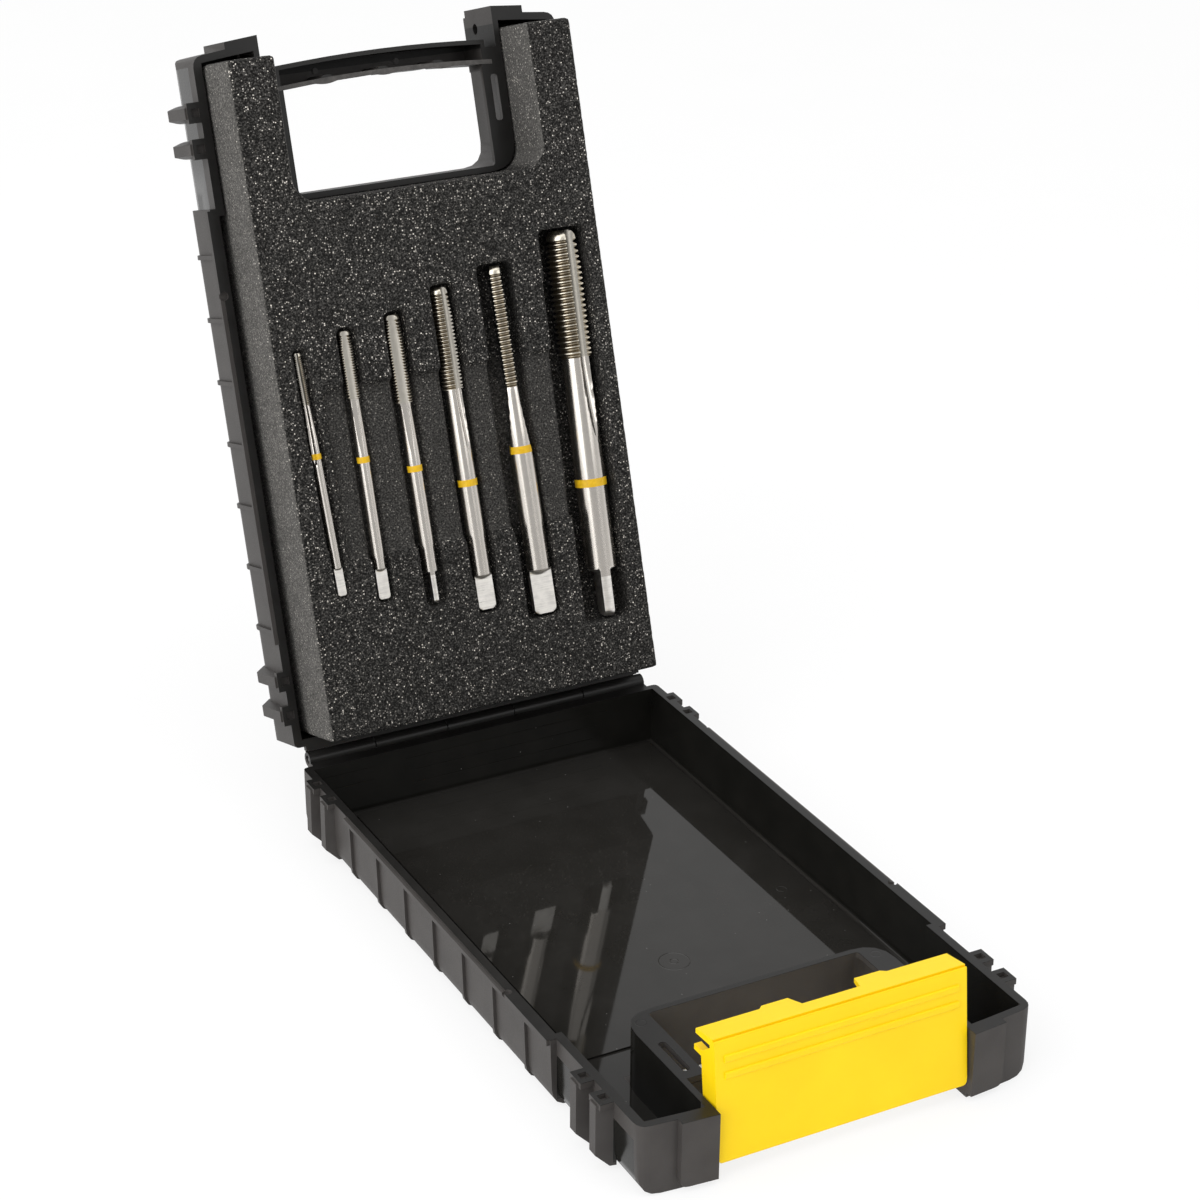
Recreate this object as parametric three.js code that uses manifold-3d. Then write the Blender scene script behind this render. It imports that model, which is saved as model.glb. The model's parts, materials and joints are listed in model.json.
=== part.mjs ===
// Hinged carry case for screw-cutting taps, shown open.
// Millimetres, +Z up, +X across the case, +Y towards the hinge.
// The origin is the middle of the underside of the lower shell.
import * as THREE from 'three';
import { mergeVertices } from 'three/addons/utils/BufferGeometryUtils.js';
import Module from 'manifold-3d';

const wasm = await Module();
wasm.setup();

// Fits shared by the pieces
const REST_GAP = 0.3;
const OVERRUN = 30;
const CURVE_STEPS = 4;
const ROD_SIDES = 20;
const MIRRORED_SIDES = [-1, 1];

// Shells, the same moulding for base and lid, with setbacks counted from each end
const SHELL_LENGTH = 186.2;
const SHELL_DEPTH = 19;
const REAR_HALF = 54.9;
const FRONT_SETIN = 1.6;
const FRONT_SECTION_LENGTH = 39.1;
const WALL = 2;
const BASE_FLOOR = 2.2;
const LID_FLOOR = 1.3;
const SIDE_DRAFT = 0.6;
const SIDE_ROUND = 5;
const END_ROUND = 2;
const BACK_CORNER_ROUND = 1.5;
const FRONT_CORNER_ROUND = 3;
const INNER_ROUND = 1.4;
const PANEL_RISE = 0.5;
const PANEL_LEFT_SETIN = 13.9;
const PANEL_FRONT_SETBACK = 49.6;
const PANEL_EDGE_GAP = 2;

// Bowed front of the two legs and the bosses that flank the recess
const BOW_PROUD = 5.7;
const BOW_RADIUS = 450;
const BOSS_PROUD = 1.9;
const BOSS_WIDTH = 9.4;
const BOSS_LIFT = 1.3;
const BOSS_ROUND = 2;

// Hand recess between the legs
const LEG_WIDTH = 18.9;
const RECESS_LENGTH = 38.6;
const RECESS_ROUND = 6.5;
const RECESS_WALL = 1.6;
const GUARD_REACH = 5.1;
const GUARD_SETBACK = 11.1;
const GUARD_THICK = 1.6;
const GUARD_CORNER = 1.2;
const SLOT_LENGTH = 12.7;
const SLOT_WIDTH = 2;
const SLOT_ROUND = 0.9;
const SLOT_SETBACK = 20.25;
const SLOT_SETIN = 1.9;

// Rim rail, its outer ledge and the small pocket where the ledge ends
const RAIL_PROUD = 0.8;
const RAIL_HEIGHT = 1.65;
const RAIL_BACK_SETBACK = 29.1;
const RAIL_STEP_GAP = 0.4;
const LEDGE_WIDTH = 1;
const LEDGE_DEPTH = 0.5;
const LEDGE_FRONT_SETBACK = 62.1;
const LEDGE_POCKET_RADIUS = 1.2;
const LEDGE_POCKET_DEPTH = 1.1;

// Thin ribs down the long sides
const THIN_RIB_COUNT = 7;
const THIN_RIB_BACK_SETBACK = 33.1;
const THIN_RIB_PITCH = 17;
const THIN_RIB_WIDTH = 1.2;
const THIN_RIB_PROUD = 0.8;
const THIN_RIB_LIFT = 0.4;

// Thick corner ribs and the rim tab above each
const BACK_RIB_SETBACKS = [18.9, 9.4];
const FRONT_RIB_SETBACKS = [23.1, 13.6];
const THICK_RIB_PROUD = 2.4;
const THICK_RIB_BASE = 5;
const THICK_RIB_TIP = 2.9;
const THICK_RIB_TOP_DROP = 0.8;
const THICK_RIB_LIFT = 1.2;
const THICK_RIB_SLANT = 3.4;
const TAB_PROUD = 1.9;
const TAB_LENGTH = 5.4;
const TAB_POCKET = 2.2;
const TAB_POCKET_DEPTH = 1.2;
const TAB_POCKET_INSET = 1.1;

// Hinge along the back edge
const HINGE_OFFSET = 3.7;
const KNUCKLE_RADIUS = 2.1;
const HINGE_PIN_RADIUS = 0.9;
const HINGE_END_SETIN = 2.9;
const HINGE_END_RECESS = 0.6;
const GUSSET_DROP = 6.5;
const BASE_KNUCKLE_SHARES = [[-1, -0.62], [-0.2, 0.2], [0.62, 1]];
const LID_KNUCKLE_SHARES = [[-0.62, -0.2], [0.2, 0.62]];
const LID_OPEN_DEGREES = 107.65;

// Carry bar across the lid's recess, with finger notches in its inner edge
const BAR_SETBACK = 3.2;
const BAR_BOW_RADIUS = 400;
const BAR_WIDTH = 6.6;
const BAR_DEPTH = 13;
const BAR_WALL = 1.2;
const BAR_FLOOR = 1.8;
const BAR_END_GAP = 3.4;
const SHELF_SETBACK = 6.5;
const SHELF_DEPTH = 8.5;
const NOTCH_COUNT = 3;
const NOTCH_PITCH = 16.4;
const NOTCH_HALF = 0.9;
const NOTCH_SLOPE = 1;
const NOTCH_DEPTH = 0.7;

// Latch, upright in the base's recess, with places counted inwards from the legs' front
const LATCH_SIDE_GAP = 0.5;
const LATCH_TOP_SETBACK = 6;
const LATCH_TOP_RISE = 16.4;
const LATCH_FOOT_SETBACK = 2.5;
const LATCH_FOOT_DROP = 15;
const LATCH_FOOT_ROUND = 2;
const LATCH_PLATE = 1.9;
const LATCH_EDGE_ROUND = 0.7;
const FLANGE_REACH = 9.4;
const FLANGE_TIP_RISE = 14.95;
const FLANGE_TIP_THICK = 1.15;
const FLANGE_ROOT_THICK = 2;
const FLANGE_END_REACH = 8.2;
const FLANGE_NOTCH_REACH = 5;
const FLANGE_TAB_OUTER = 16;
const FLANGE_TAB_INNER = 9;
const FLANGE_TAB_SLOPE = 1.2;
const CHEEK_THICK = 1.9;
const CHEEK_TOP_REACH = 5.5;
const CHEEK_LIP_REACH = 8.7;
const CHEEK_LIP_TOP_RISE = 10.7;
const CHEEK_LIP_UNDER_RISE = 9.3;
const CHEEK_LOW_REACH = 4.1;
const CHEEK_LOW_DROP = 1.3;
const CHEEK_FOOT_DROP = 8.5;
const GRIP_BAR_RISES = [11.3, 7.1];
const GRIP_BAR_HEIGHT = 1.9;
const GRIP_BAR_PROUD = 0.5;
const GRIP_BAR_SETIN = 2.4;
const PIVOT_SETBACK = 6.8;
const PIVOT_DROP = 12;
const PIVOT_RADIUS = 1.2;
const PIVOT_LUG_RADIUS = 2.4;
const PIVOT_LUG_THICK = 2.4;
const PIVOT_ENGAGE = 1.2;

// Foam insert in the lid, with gaps to the walls round it
const FOAM_SIDE_GAP = 2.7;
const FOAM_BACK_GAP = 0.6;
const FOAM_FRONT_SETBACK = 7.3;
const FOAM_HEADROOM = 0.1;
const FOAM_CUT_SIDE_GAP = 1.2;
const FOAM_CUT_BACK_GAP = 0.4;
const FOAM_CUT_ROUND = 6;
const FOAM_EDGE_CHAMFER = 1.5;
const TROUGH_DEPTH = 3;
// The trough's sides as shares of the foam's half-width, its ends as shares of its back half
const TROUGH_SHARES = { left: 0.737, right: 0.677, front: 0.033, back: 0.481 };
const CORE_COLUMNS = 3;
const CORE_ROWS = 4;
const CORE_WEB = 2;
const CORE_SKIN = 2;
const CORE_EDGE = 1.8;

// Taps, tip forward, from the largest one's sizes
const LONGEST_TAP = 108;
const THICKEST_THREAD = 9.4;
const THICKEST_SHANK = 8.8;
// Each tap's length, thread and shank as shares of those, then where its tip and tang end
// lie as shares of the foam's half-width and of its back half's length
const TAP_SHARES = [
  { length: 0.611, thread: 0.213, shank: 0.284, tipX: -0.845, tipY: -0.156, endX: -0.799 },
  { length: 0.676, thread: 0.404, shank: 0.381, tipX: -0.564, tipY: -0.197, endX: -0.558 },
  { length: 0.731, thread: 0.511, shank: 0.455, tipX: -0.279, tipY: -0.22, endX: -0.263 },
  { length: 0.824, thread: 0.617, shank: 0.602, tipX: 0.016, tipY: -0.275, endX: 0.036 },
  { length: 0.898, thread: 0.745, shank: 0.761, tipX: 0.367, tipY: -0.312, endX: 0.384 },
  { length: 1, thread: 1, shank: 1, tipX: 0.805, tipY: -0.383, endX: 0.771 },
];
// Where thread, neck and shank end, as shares of each tap's length from its tip
const TAP_STATION_SHARES = [
  { threadEnd: 0.212, neckEnd: 0.4, shankEnd: 0.885 },
  { threadEnd: 0.252, neckEnd: 0.455, shankEnd: 0.885 },
  { threadEnd: 0.304, neckEnd: 0.51, shankEnd: 0.89 },
  { threadEnd: 0.312, neckEnd: 0.58, shankEnd: 0.89 },
  { threadEnd: 0.342, neckEnd: 0.5, shankEnd: 0.87 },
  { threadEnd: 0.326, neckEnd: 0.63, shankEnd: 0.875 },
];
// How far each tap's first flute and its flat tang are rolled round its axis
const TAP_ROLL_DEGREES = [
  { flute: 229, tang: 3 },
  { flute: 206, tang: 4 },
  { flute: 206, tang: 102 },
  { flute: 170, tang: 2 },
  { flute: 160, tang: 5 },
  { flute: 170, tang: 102 },
];
// Room left and right of each tap in its pocket, as shares of the widest room
const POCKET_ROOM = 4;
const POCKET_ROOM_SHARES = [
  [0.125, 0.225],
  [0.125, 0.225],
  [0.15, 0.25],
  [0.15, 0.25],
  [0.75, 0.175],
  [1, 0.175],
];
const POCKET_END_ROOM = 0.8;
const TAP_BELOW_FOAM = 0.1;
const TAP_SIDES = 20;
const TIP_TAPER_SHARE = 0.12;
const TIP_WIDTH_SHARE = 0.72;
const NECK_WIDTH_SHARE = 0.87;
const TANG_THICKNESS_SHARE = 0.32;
const TANG_CHAMFER_SHARE = 0.12;
const FLUTE_COUNT = 3;
const FLUTE_RADIUS_SHARE = 0.42;
const FLUTE_CENTRE_SHARE = 0.72;
const FLUTE_SIDES = 8;
const FLUTE_RUNOUT_SHARE = 0.12;

// Colours, roughness and metalness
const BLACK_PLASTIC = { color: 0x2a2826, roughness: 0.5, metalness: 0 };
const YELLOW_PLASTIC = { color: 0xf7d31c, roughness: 0.45, metalness: 0 };
const GREY_FOAM = { color: 0x3c3a37, roughness: 1, metalness: 0 };
const STEEL = { color: 0xbdb9b0, roughness: 0.3, metalness: 1 };

// Places worked out from the sizes above
const BACK_Y = SHELL_LENGTH / 2;
const STEP_Y = FRONT_SECTION_LENGTH - BACK_Y;
const FRONT_HALF = REAR_HALF - FRONT_SETIN;
const BOW_REACH = BACK_Y + BOW_PROUD;
const BOTTOM_FRONT_Y = -BOW_REACH + BOSS_PROUD;
const RECESS_HALF = FRONT_HALF - LEG_WIDTH;
const RECESS_BACK = BACK_Y - RECESS_LENGTH;
const GUARD_INNER = RECESS_HALF - GUARD_REACH;
const GUARD_FRONT = BACK_Y - GUARD_SETBACK;
const RAIL_BACK = BACK_Y - RAIL_BACK_SETBACK;
const LEDGE_FRONT = BACK_Y - LEDGE_FRONT_SETBACK;
const THICK_RIB_REACH = REAR_HALF + THICK_RIB_PROUD;
const TAB_REACH = REAR_HALF + TAB_PROUD;
const THICK_RIB_YS = [
  ...BACK_RIB_SETBACKS.map((setback) => BACK_Y - setback),
  ...FRONT_RIB_SETBACKS.map((setback) => setback - BACK_Y),
];
const HINGE_Y = BACK_Y + HINGE_OFFSET;
const HINGE_Z = SHELL_DEPTH + REST_GAP / 2;
const HINGE_HALF_LENGTH = REAR_HALF - HINGE_END_SETIN;
const BAR_REACH = BACK_Y - BAR_SETBACK;
const BAR_HALF = RECESS_HALF - BAR_END_GAP;
const PIVOT_Y = BOW_REACH - PIVOT_SETBACK;
const FOAM_HALF = REAR_HALF - WALL - FOAM_SIDE_GAP;
const FOAM_BACK = BACK_Y - WALL - FOAM_BACK_GAP;
const FOAM_FRONT = BOW_REACH - FOAM_FRONT_SETBACK;
const FOAM_PROUD = SHELL_DEPTH - BASE_FLOOR - PANEL_RISE - FOAM_HEADROOM;
const FOAM_CUT_HALF = RECESS_HALF + RECESS_WALL + FOAM_CUT_SIDE_GAP;
const FOAM_CUT_BACK = RECESS_BACK - RECESS_WALL - FOAM_CUT_BACK_GAP;
const TAPS = TAP_SHARES.map((share) => ({
  length: share.length * LONGEST_TAP,
  thread: share.thread * THICKEST_THREAD,
  shank: share.shank * THICKEST_SHANK,
  tipX: share.tipX * FOAM_HALF,
  tipY: share.tipY * FOAM_BACK,
  endX: share.endX * FOAM_HALF,
}));

function radians(degrees) {
  return THREE.MathUtils.degToRad(degrees);
}

// Solids from three.js geometry
function toSolid(geometry) {
  geometry.deleteAttribute('normal');
  geometry.deleteAttribute('uv');
  const merged = mergeVertices(geometry);
  const vertProperties = new Float32Array(merged.attributes.position.array);
  const triVerts = new Uint32Array(merged.index.array);
  return new wasm.Manifold(new wasm.Mesh({ numProp: 3, vertProperties, triVerts }));
}

function toGeometry(solid) {
  const { vertProperties, triVerts } = solid.getMesh();
  const geometry = new THREE.BufferGeometry();
  geometry.setAttribute('position', new THREE.BufferAttribute(vertProperties, 3));
  geometry.setIndex(new THREE.BufferAttribute(triVerts, 1));
  geometry.computeVertexNormals();
  return geometry;
}

function join(solids) {
  return solids.reduce((sum, next) => sum.add(next));
}

// An outline of [x, y] or [x, y, corner radius] points
function outline(points) {
  const shape = new THREE.Shape();
  const corners = points.map(([x, y, radius = 0]) => ({ at: new THREE.Vector2(x, y), radius }));
  corners.forEach((corner, index) => {
    const before = corners[(index + corners.length - 1) % corners.length].at;
    const after = corners[(index + 1) % corners.length].at;
    const start = before.clone().sub(corner.at).setLength(corner.radius).add(corner.at);
    const end = after.clone().sub(corner.at).setLength(corner.radius).add(corner.at);
    if (index === 0) {
      shape.moveTo(start.x, start.y);
    } else {
      shape.lineTo(start.x, start.y);
    }
    if (corner.radius > 0) {
      shape.quadraticCurveTo(corner.at.x, corner.at.y, end.x, end.y);
    }
  });
  return shape;
}

function extrude(points, depth) {
  const settings = { depth, bevelEnabled: false, curveSegments: CURVE_STEPS };
  return new THREE.ExtrudeGeometry(outline(points), settings);
}

// Plan outline [x, y] raised from one height to another
function alongZ(points, from, to) {
  return toSolid(extrude(points, to - from).translate(0, 0, from));
}

// Side outline [y, z] carried from one x to another
function alongX(points, from, to) {
  const turn = new THREE.Matrix4().makeBasis(
    new THREE.Vector3(0, 1, 0),
    new THREE.Vector3(0, 0, 1),
    new THREE.Vector3(1, 0, 0),
  );
  return toSolid(extrude(points, to - from).applyMatrix4(turn).translate(from, 0, 0));
}

// Front outline [x, z] carried from one y to another
function alongY(points, from, to) {
  const turn = new THREE.Matrix4().makeBasis(
    new THREE.Vector3(1, 0, 0),
    new THREE.Vector3(0, 0, 1),
    new THREE.Vector3(0, -1, 0),
  );
  return toSolid(extrude(points, to - from).applyMatrix4(turn).translate(0, to, 0));
}

function block(xs, ys, zs) {
  const geometry = new THREE.BoxGeometry(xs[1] - xs[0], ys[1] - ys[0], zs[1] - zs[0]);
  geometry.translate((xs[0] + xs[1]) / 2, (ys[0] + ys[1]) / 2, (zs[0] + zs[1]) / 2);
  return toSolid(geometry);
}

function rodAlongX(radius, from, to, y, z) {
  const geometry = new THREE.CylinderGeometry(radius, radius, to - from, ROD_SIDES);
  geometry.rotateZ(Math.PI / 2);
  geometry.translate((from + to) / 2, y, z);
  return toSolid(geometry);
}

function rodAlongZ(radius, from, to, x, y) {
  const geometry = new THREE.CylinderGeometry(radius, radius, to - from, ROD_SIDES);
  geometry.rotateX(Math.PI / 2);
  geometry.translate(x, y, (from + to) / 2);
  return toSolid(geometry);
}

// The same block on the left and the right, from its inner and outer half-widths
function sideBlocks(inner, outer, ys, zs) {
  return join(MIRRORED_SIDES.map((side) => {
    const xs = [side * inner, side * outer].sort((a, b) => a - b);
    return block(xs, ys, zs);
  }));
}

// Shell outlines, in a frame with the floor at zero and the rim at SHELL_DEPTH
function bowedFront(x, setback) {
  return -BOW_REACH + setback + (x * x) / (2 * BOW_RADIUS);
}

function bowedPlan(half, setback, backY, backRound, frontRound = 0) {
  const steps = CURVE_STEPS * CURVE_STEPS;
  const front = Array.from({ length: steps + 1 }, (unused, index) => {
    const x = half * (2 * index / steps - 1);
    return [x, bowedFront(x, setback), index % steps === 0 ? frontRound : 0];
  });
  return [...front, [half, backY, backRound], [-half, backY, backRound]];
}

function troughSection(half, bottomZ, topZ, round) {
  const drop = SIDE_DRAFT * (SHELL_DEPTH - bottomZ) / SHELL_DEPTH;
  return [
    [-half, topZ],
    [-half + drop, bottomZ, round],
    [half - drop, bottomZ, round],
    [half, topZ],
  ];
}

function recessPlan(grow) {
  const half = RECESS_HALF + grow;
  const back = -RECESS_BACK + grow;
  const round = RECESS_ROUND + grow;
  const front = -BOW_REACH - OVERRUN;
  return [[-half, front], [half, front], [half, back, round], [-half, back, round]];
}

function shellOutside() {
  const rear = alongY(troughSection(REAR_HALF, 0, SHELL_DEPTH, SIDE_ROUND), STEP_Y, BACK_Y);
  const frontSection = troughSection(FRONT_HALF, 0, SHELL_DEPTH, SIDE_ROUND);
  const cornerPlan = bowedPlan(FRONT_HALF, BOSS_PROUD, BACK_Y, 0, FRONT_CORNER_ROUND);
  const front = alongY(frontSection, -BOW_REACH, STEP_Y + WALL)
    .intersect(alongZ(cornerPlan, 0, SHELL_DEPTH));
  const plan = alongZ(bowedPlan(REAR_HALF, BOSS_PROUD, BACK_Y, BACK_CORNER_ROUND), 0, SHELL_DEPTH);
  const ends = alongX([
    [BOTTOM_FRONT_Y, SHELL_DEPTH],
    [BOTTOM_FRONT_Y, 0, END_ROUND],
    [BACK_Y, 0, END_ROUND],
    [BACK_Y, SHELL_DEPTH],
  ], -REAR_HALF, REAR_HALF);
  return rear.add(front).intersect(plan).intersect(ends);
}

function shellInside(floor) {
  const top = SHELL_DEPTH + OVERRUN;
  const rearSection = troughSection(REAR_HALF - WALL, floor, top, INNER_ROUND);
  const rear = alongY(rearSection, STEP_Y + WALL, BACK_Y - WALL);
  const frontSection = troughSection(FRONT_HALF - WALL, floor, top, INNER_ROUND);
  const front = alongY(frontSection, -BOW_REACH, STEP_Y + WALL + INNER_ROUND);
  const planOutline = bowedPlan(REAR_HALF, BOSS_PROUD + WALL, BACK_Y, 0);
  const plan = alongZ(planOutline, 0, top);
  return rear.add(front).intersect(plan).subtract(alongZ(recessPlan(RECESS_WALL), 0, top));
}

function bosses() {
  const plan = alongZ(bowedPlan(REAR_HALF, 0, STEP_Y, 0), 0, SHELL_DEPTH);
  const inner = RECESS_HALF - RECESS_WALL;
  const outer = RECESS_HALF + BOSS_WIDTH;
  return join(MIRRORED_SIDES.map((side) => {
    const face = alongY([
      [side * inner, SHELL_DEPTH],
      [side * inner, BOSS_LIFT],
      [side * outer, BOSS_LIFT, BOSS_ROUND],
      [side * outer, SHELL_DEPTH],
    ], -BOW_REACH, BOTTOM_FRONT_Y + WALL + BOSS_PROUD);
    return face.intersect(plan);
  }));
}

function thinRibs() {
  const top = SHELL_DEPTH - RAIL_HEIGHT;
  const half = REAR_HALF + THIN_RIB_PROUD;
  const section = troughSection(half, THIN_RIB_LIFT, top, SIDE_ROUND);
  return join(Array.from({ length: THIN_RIB_COUNT }, (unused, index) => {
    const front = BACK_Y - THIN_RIB_BACK_SETBACK - index * THIN_RIB_PITCH;
    return alongY(section, front, front + THIN_RIB_WIDTH);
  }));
}

function thickRib(side, y) {
  const root = FRONT_HALF - WALL / 2;
  const top = SHELL_DEPTH - THICK_RIB_TOP_DROP;
  const plan = alongZ([
    [side * root, y - THICK_RIB_BASE / 2],
    [side * THICK_RIB_REACH, y - THICK_RIB_TIP / 2],
    [side * THICK_RIB_REACH, y + THICK_RIB_TIP / 2],
    [side * root, y + THICK_RIB_BASE / 2],
  ], 0, top);
  const face = alongY([
    [side * root, THICK_RIB_LIFT],
    [side * (THICK_RIB_REACH - THICK_RIB_SLANT), THICK_RIB_LIFT],
    [side * THICK_RIB_REACH, THICK_RIB_LIFT + THICK_RIB_SLANT],
    [side * THICK_RIB_REACH, top],
    [side * root, top],
  ], y - THICK_RIB_BASE, y + THICK_RIB_BASE);
  return plan.intersect(face);
}

function thickRibs() {
  return join(MIRRORED_SIDES.flatMap((side) => THICK_RIB_YS.map((y) => thickRib(side, y))));
}

function rimTabs() {
  const root = FRONT_HALF - WALL / 2;
  return join(THICK_RIB_YS.map((y) => {
    const ys = [y - TAB_LENGTH / 2, y + TAB_LENGTH / 2];
    return sideBlocks(root, TAB_REACH, ys, [SHELL_DEPTH - RAIL_HEIGHT, SHELL_DEPTH]);
  }));
}

function rimTabPockets() {
  const outer = TAB_REACH - TAB_POCKET_INSET;
  return join(THICK_RIB_YS.map((y) => {
    const ys = [y - TAB_POCKET / 2, y + TAB_POCKET / 2];
    const zs = [SHELL_DEPTH - TAB_POCKET_DEPTH, SHELL_DEPTH + OVERRUN];
    return sideBlocks(outer - TAB_POCKET, outer, ys, zs);
  }));
}

function rimRails() {
  const root = REAR_HALF - WALL / 2;
  const zs = [SHELL_DEPTH - RAIL_HEIGHT, SHELL_DEPTH];
  return sideBlocks(root, REAR_HALF + RAIL_PROUD, [STEP_Y + RAIL_STEP_GAP, RAIL_BACK], zs);
}

function rimLedges() {
  const outer = REAR_HALF + RAIL_PROUD;
  const inner = outer - LEDGE_WIDTH;
  const ledge = sideBlocks(
    inner,
    outer + OVERRUN,
    [-LEDGE_FRONT, RAIL_BACK],
    [SHELL_DEPTH - LEDGE_DEPTH, SHELL_DEPTH + OVERRUN],
  );
  const pockets = MIRRORED_SIDES.map((side) => rodAlongZ(
    LEDGE_POCKET_RADIUS,
    SHELL_DEPTH - LEDGE_POCKET_DEPTH,
    SHELL_DEPTH + OVERRUN,
    side * inner,
    -LEDGE_FRONT,
  ));
  return join([ledge, ...pockets]);
}

// The recess is cut full width below the guards and narrower between them
function recessCut() {
  const front = -BOW_REACH - OVERRUN;
  const below = alongZ(recessPlan(0), -OVERRUN, SHELL_DEPTH - GUARD_THICK);
  const halfOpening = (side) => [
    [side * RECESS_HALF, front],
    [side * RECESS_HALF, -GUARD_FRONT],
    [side * GUARD_INNER, -GUARD_FRONT, GUARD_CORNER],
    [side * GUARD_INNER, -RECESS_BACK, GUARD_CORNER],
  ];
  const opening = [...halfOpening(1), ...halfOpening(-1).reverse()];
  return below.add(alongZ(opening, -OVERRUN, SHELL_DEPTH + OVERRUN));
}

function guardSlots() {
  const half = SLOT_WIDTH / 2;
  const middle = SLOT_SETBACK - BACK_Y;
  return join(MIRRORED_SIDES.map((side) => {
    const x = side * (RECESS_HALF - SLOT_SETIN);
    return alongZ([
      [x - half, middle - SLOT_LENGTH / 2, SLOT_ROUND],
      [x + half, middle - SLOT_LENGTH / 2, SLOT_ROUND],
      [x + half, middle + SLOT_LENGTH / 2, SLOT_ROUND],
      [x - half, middle + SLOT_LENGTH / 2, SLOT_ROUND],
    ], SHELL_DEPTH - GUARD_THICK - REST_GAP, SHELL_DEPTH + OVERRUN);
  }));
}

function floorPanel() {
  const xs = [PANEL_LEFT_SETIN - REAR_HALF, REAR_HALF - WALL - PANEL_EDGE_GAP];
  const ys = [PANEL_FRONT_SETBACK - BACK_Y, BACK_Y - WALL - PANEL_EDGE_GAP];
  return block(xs, ys, [BASE_FLOOR / 2, BASE_FLOOR + PANEL_RISE]);
}

// Knuckles joined to the back wall by gussets, bored for the pin
function hingeKnuckles(shares) {
  const bore = rodAlongX(
    HINGE_PIN_RADIUS + REST_GAP,
    -HINGE_HALF_LENGTH - OVERRUN,
    HINGE_HALF_LENGTH + OVERRUN,
    HINGE_Y,
    HINGE_Z,
  );
  const knuckles = shares.map(([fromShare, toShare]) => {
    const from = fromShare * HINGE_HALF_LENGTH + REST_GAP / 2;
    const to = toShare * HINGE_HALF_LENGTH - REST_GAP / 2;
    const barrel = rodAlongX(KNUCKLE_RADIUS, from, to, HINGE_Y, HINGE_Z);
    const gusset = alongX([
      [BACK_Y - WALL / 2, SHELL_DEPTH - GUSSET_DROP],
      [HINGE_Y, HINGE_Z - KNUCKLE_RADIUS],
      [HINGE_Y, SHELL_DEPTH],
      [BACK_Y - WALL / 2, SHELL_DEPTH],
    ], from, to);
    return barrel.add(gusset);
  });
  return join(knuckles).subtract(bore);
}

// Narrow lip that closes the gap between the back wall and the other shell's knuckles
function hingeLip() {
  const ys = [BACK_Y - WALL / 2, HINGE_Y - KNUCKLE_RADIUS - REST_GAP];
  const xs = [-HINGE_HALF_LENGTH + REST_GAP, HINGE_HALF_LENGTH - REST_GAP];
  return block(xs, ys, [SHELL_DEPTH - RAIL_HEIGHT, SHELL_DEPTH]);
}

function pivotHoles() {
  const end = RECESS_HALF + RECESS_WALL + REST_GAP;
  return rodAlongX(PIVOT_RADIUS + REST_GAP, -end, end, -PIVOT_Y, SHELL_DEPTH - PIVOT_DROP);
}

function shell(floor, knuckleShares) {
  const walls = join([
    shellOutside(), bosses(), thinRibs(), thickRibs(), rimTabs(), rimRails(), hingeLip(),
  ]);
  const cuts = join([
    shellInside(floor), recessCut(), guardSlots(), rimTabPockets(), rimLedges(), pivotHoles(),
  ]);
  return walls.subtract(cuts).add(hingeKnuckles(knuckleShares));
}

// Bar edge across the recess, bowed and notched, from its right end to its left
function notchedEdge(half, reach) {
  const bowed = (x) => -reach + (x * x) / (2 * BAR_BOW_RADIUS);
  const notches = Array.from({ length: NOTCH_COUNT }, (unused, index) => {
    const middle = ((NOTCH_COUNT - 1) / 2 - index) * NOTCH_PITCH;
    const [start, end] = [middle + NOTCH_HALF, middle - NOTCH_HALF];
    return [
      [start + NOTCH_SLOPE, bowed(start)],
      [start, bowed(start) - NOTCH_DEPTH],
      [end, bowed(end) - NOTCH_DEPTH],
      [end - NOTCH_SLOPE, bowed(end)],
    ];
  });
  return [[half, bowed(half)], ...notches.flat(), [-half, bowed(half)]];
}

function barPlan(half, frontReach, backReach) {
  const steps = CURVE_STEPS * 2;
  const front = Array.from({ length: steps + 1 }, (unused, index) => {
    const x = half * (2 * index / steps - 1);
    return [x, -frontReach + (x * x) / (2 * BAR_BOW_RADIUS)];
  });
  return [...front, ...notchedEdge(half, backReach)];
}

// Carry bar, a channel open towards the rim, carried on a shelf at each end
function carryBar() {
  const rim = SHELL_DEPTH;
  const backReach = BAR_REACH - BAR_WIDTH;
  const outer = alongZ(barPlan(BAR_HALF, BAR_REACH, backReach), rim - BAR_DEPTH, rim);
  const channelPlan = barPlan(BAR_HALF - BAR_WALL, BAR_REACH - BAR_WALL, backReach + BAR_WALL);
  const channel = alongZ(channelPlan, rim - BAR_DEPTH + BAR_FLOOR, rim + OVERRUN);
  const shelfYs = [SHELF_SETBACK - BACK_Y, -GUARD_FRONT + RECESS_WALL];
  const shelfEnd = RECESS_HALF + RECESS_WALL / 2;
  const shelves = sideBlocks(GUARD_INNER, shelfEnd, shelfYs, [rim - SHELF_DEPTH, rim]);
  return outer.add(shelves).subtract(channel);
}

function lowerShell() {
  return shell(BASE_FLOOR, BASE_KNUCKLE_SHARES).add(floorPanel());
}

// The lid is turned over, so that its rim is at zero and its outer face at SHELL_DEPTH
function upperShell() {
  const solid = shell(LID_FLOOR, LID_KNUCKLE_SHARES).add(carryBar());
  const geometry = toGeometry(solid);
  geometry.rotateY(Math.PI);
  geometry.translate(0, 0, SHELL_DEPTH);
  return geometry;
}

function hingePin() {
  const half = HINGE_HALF_LENGTH - HINGE_END_RECESS;
  return rodAlongX(HINGE_PIN_RADIUS, -half, half, HINGE_Y, HINGE_Z);
}

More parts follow.
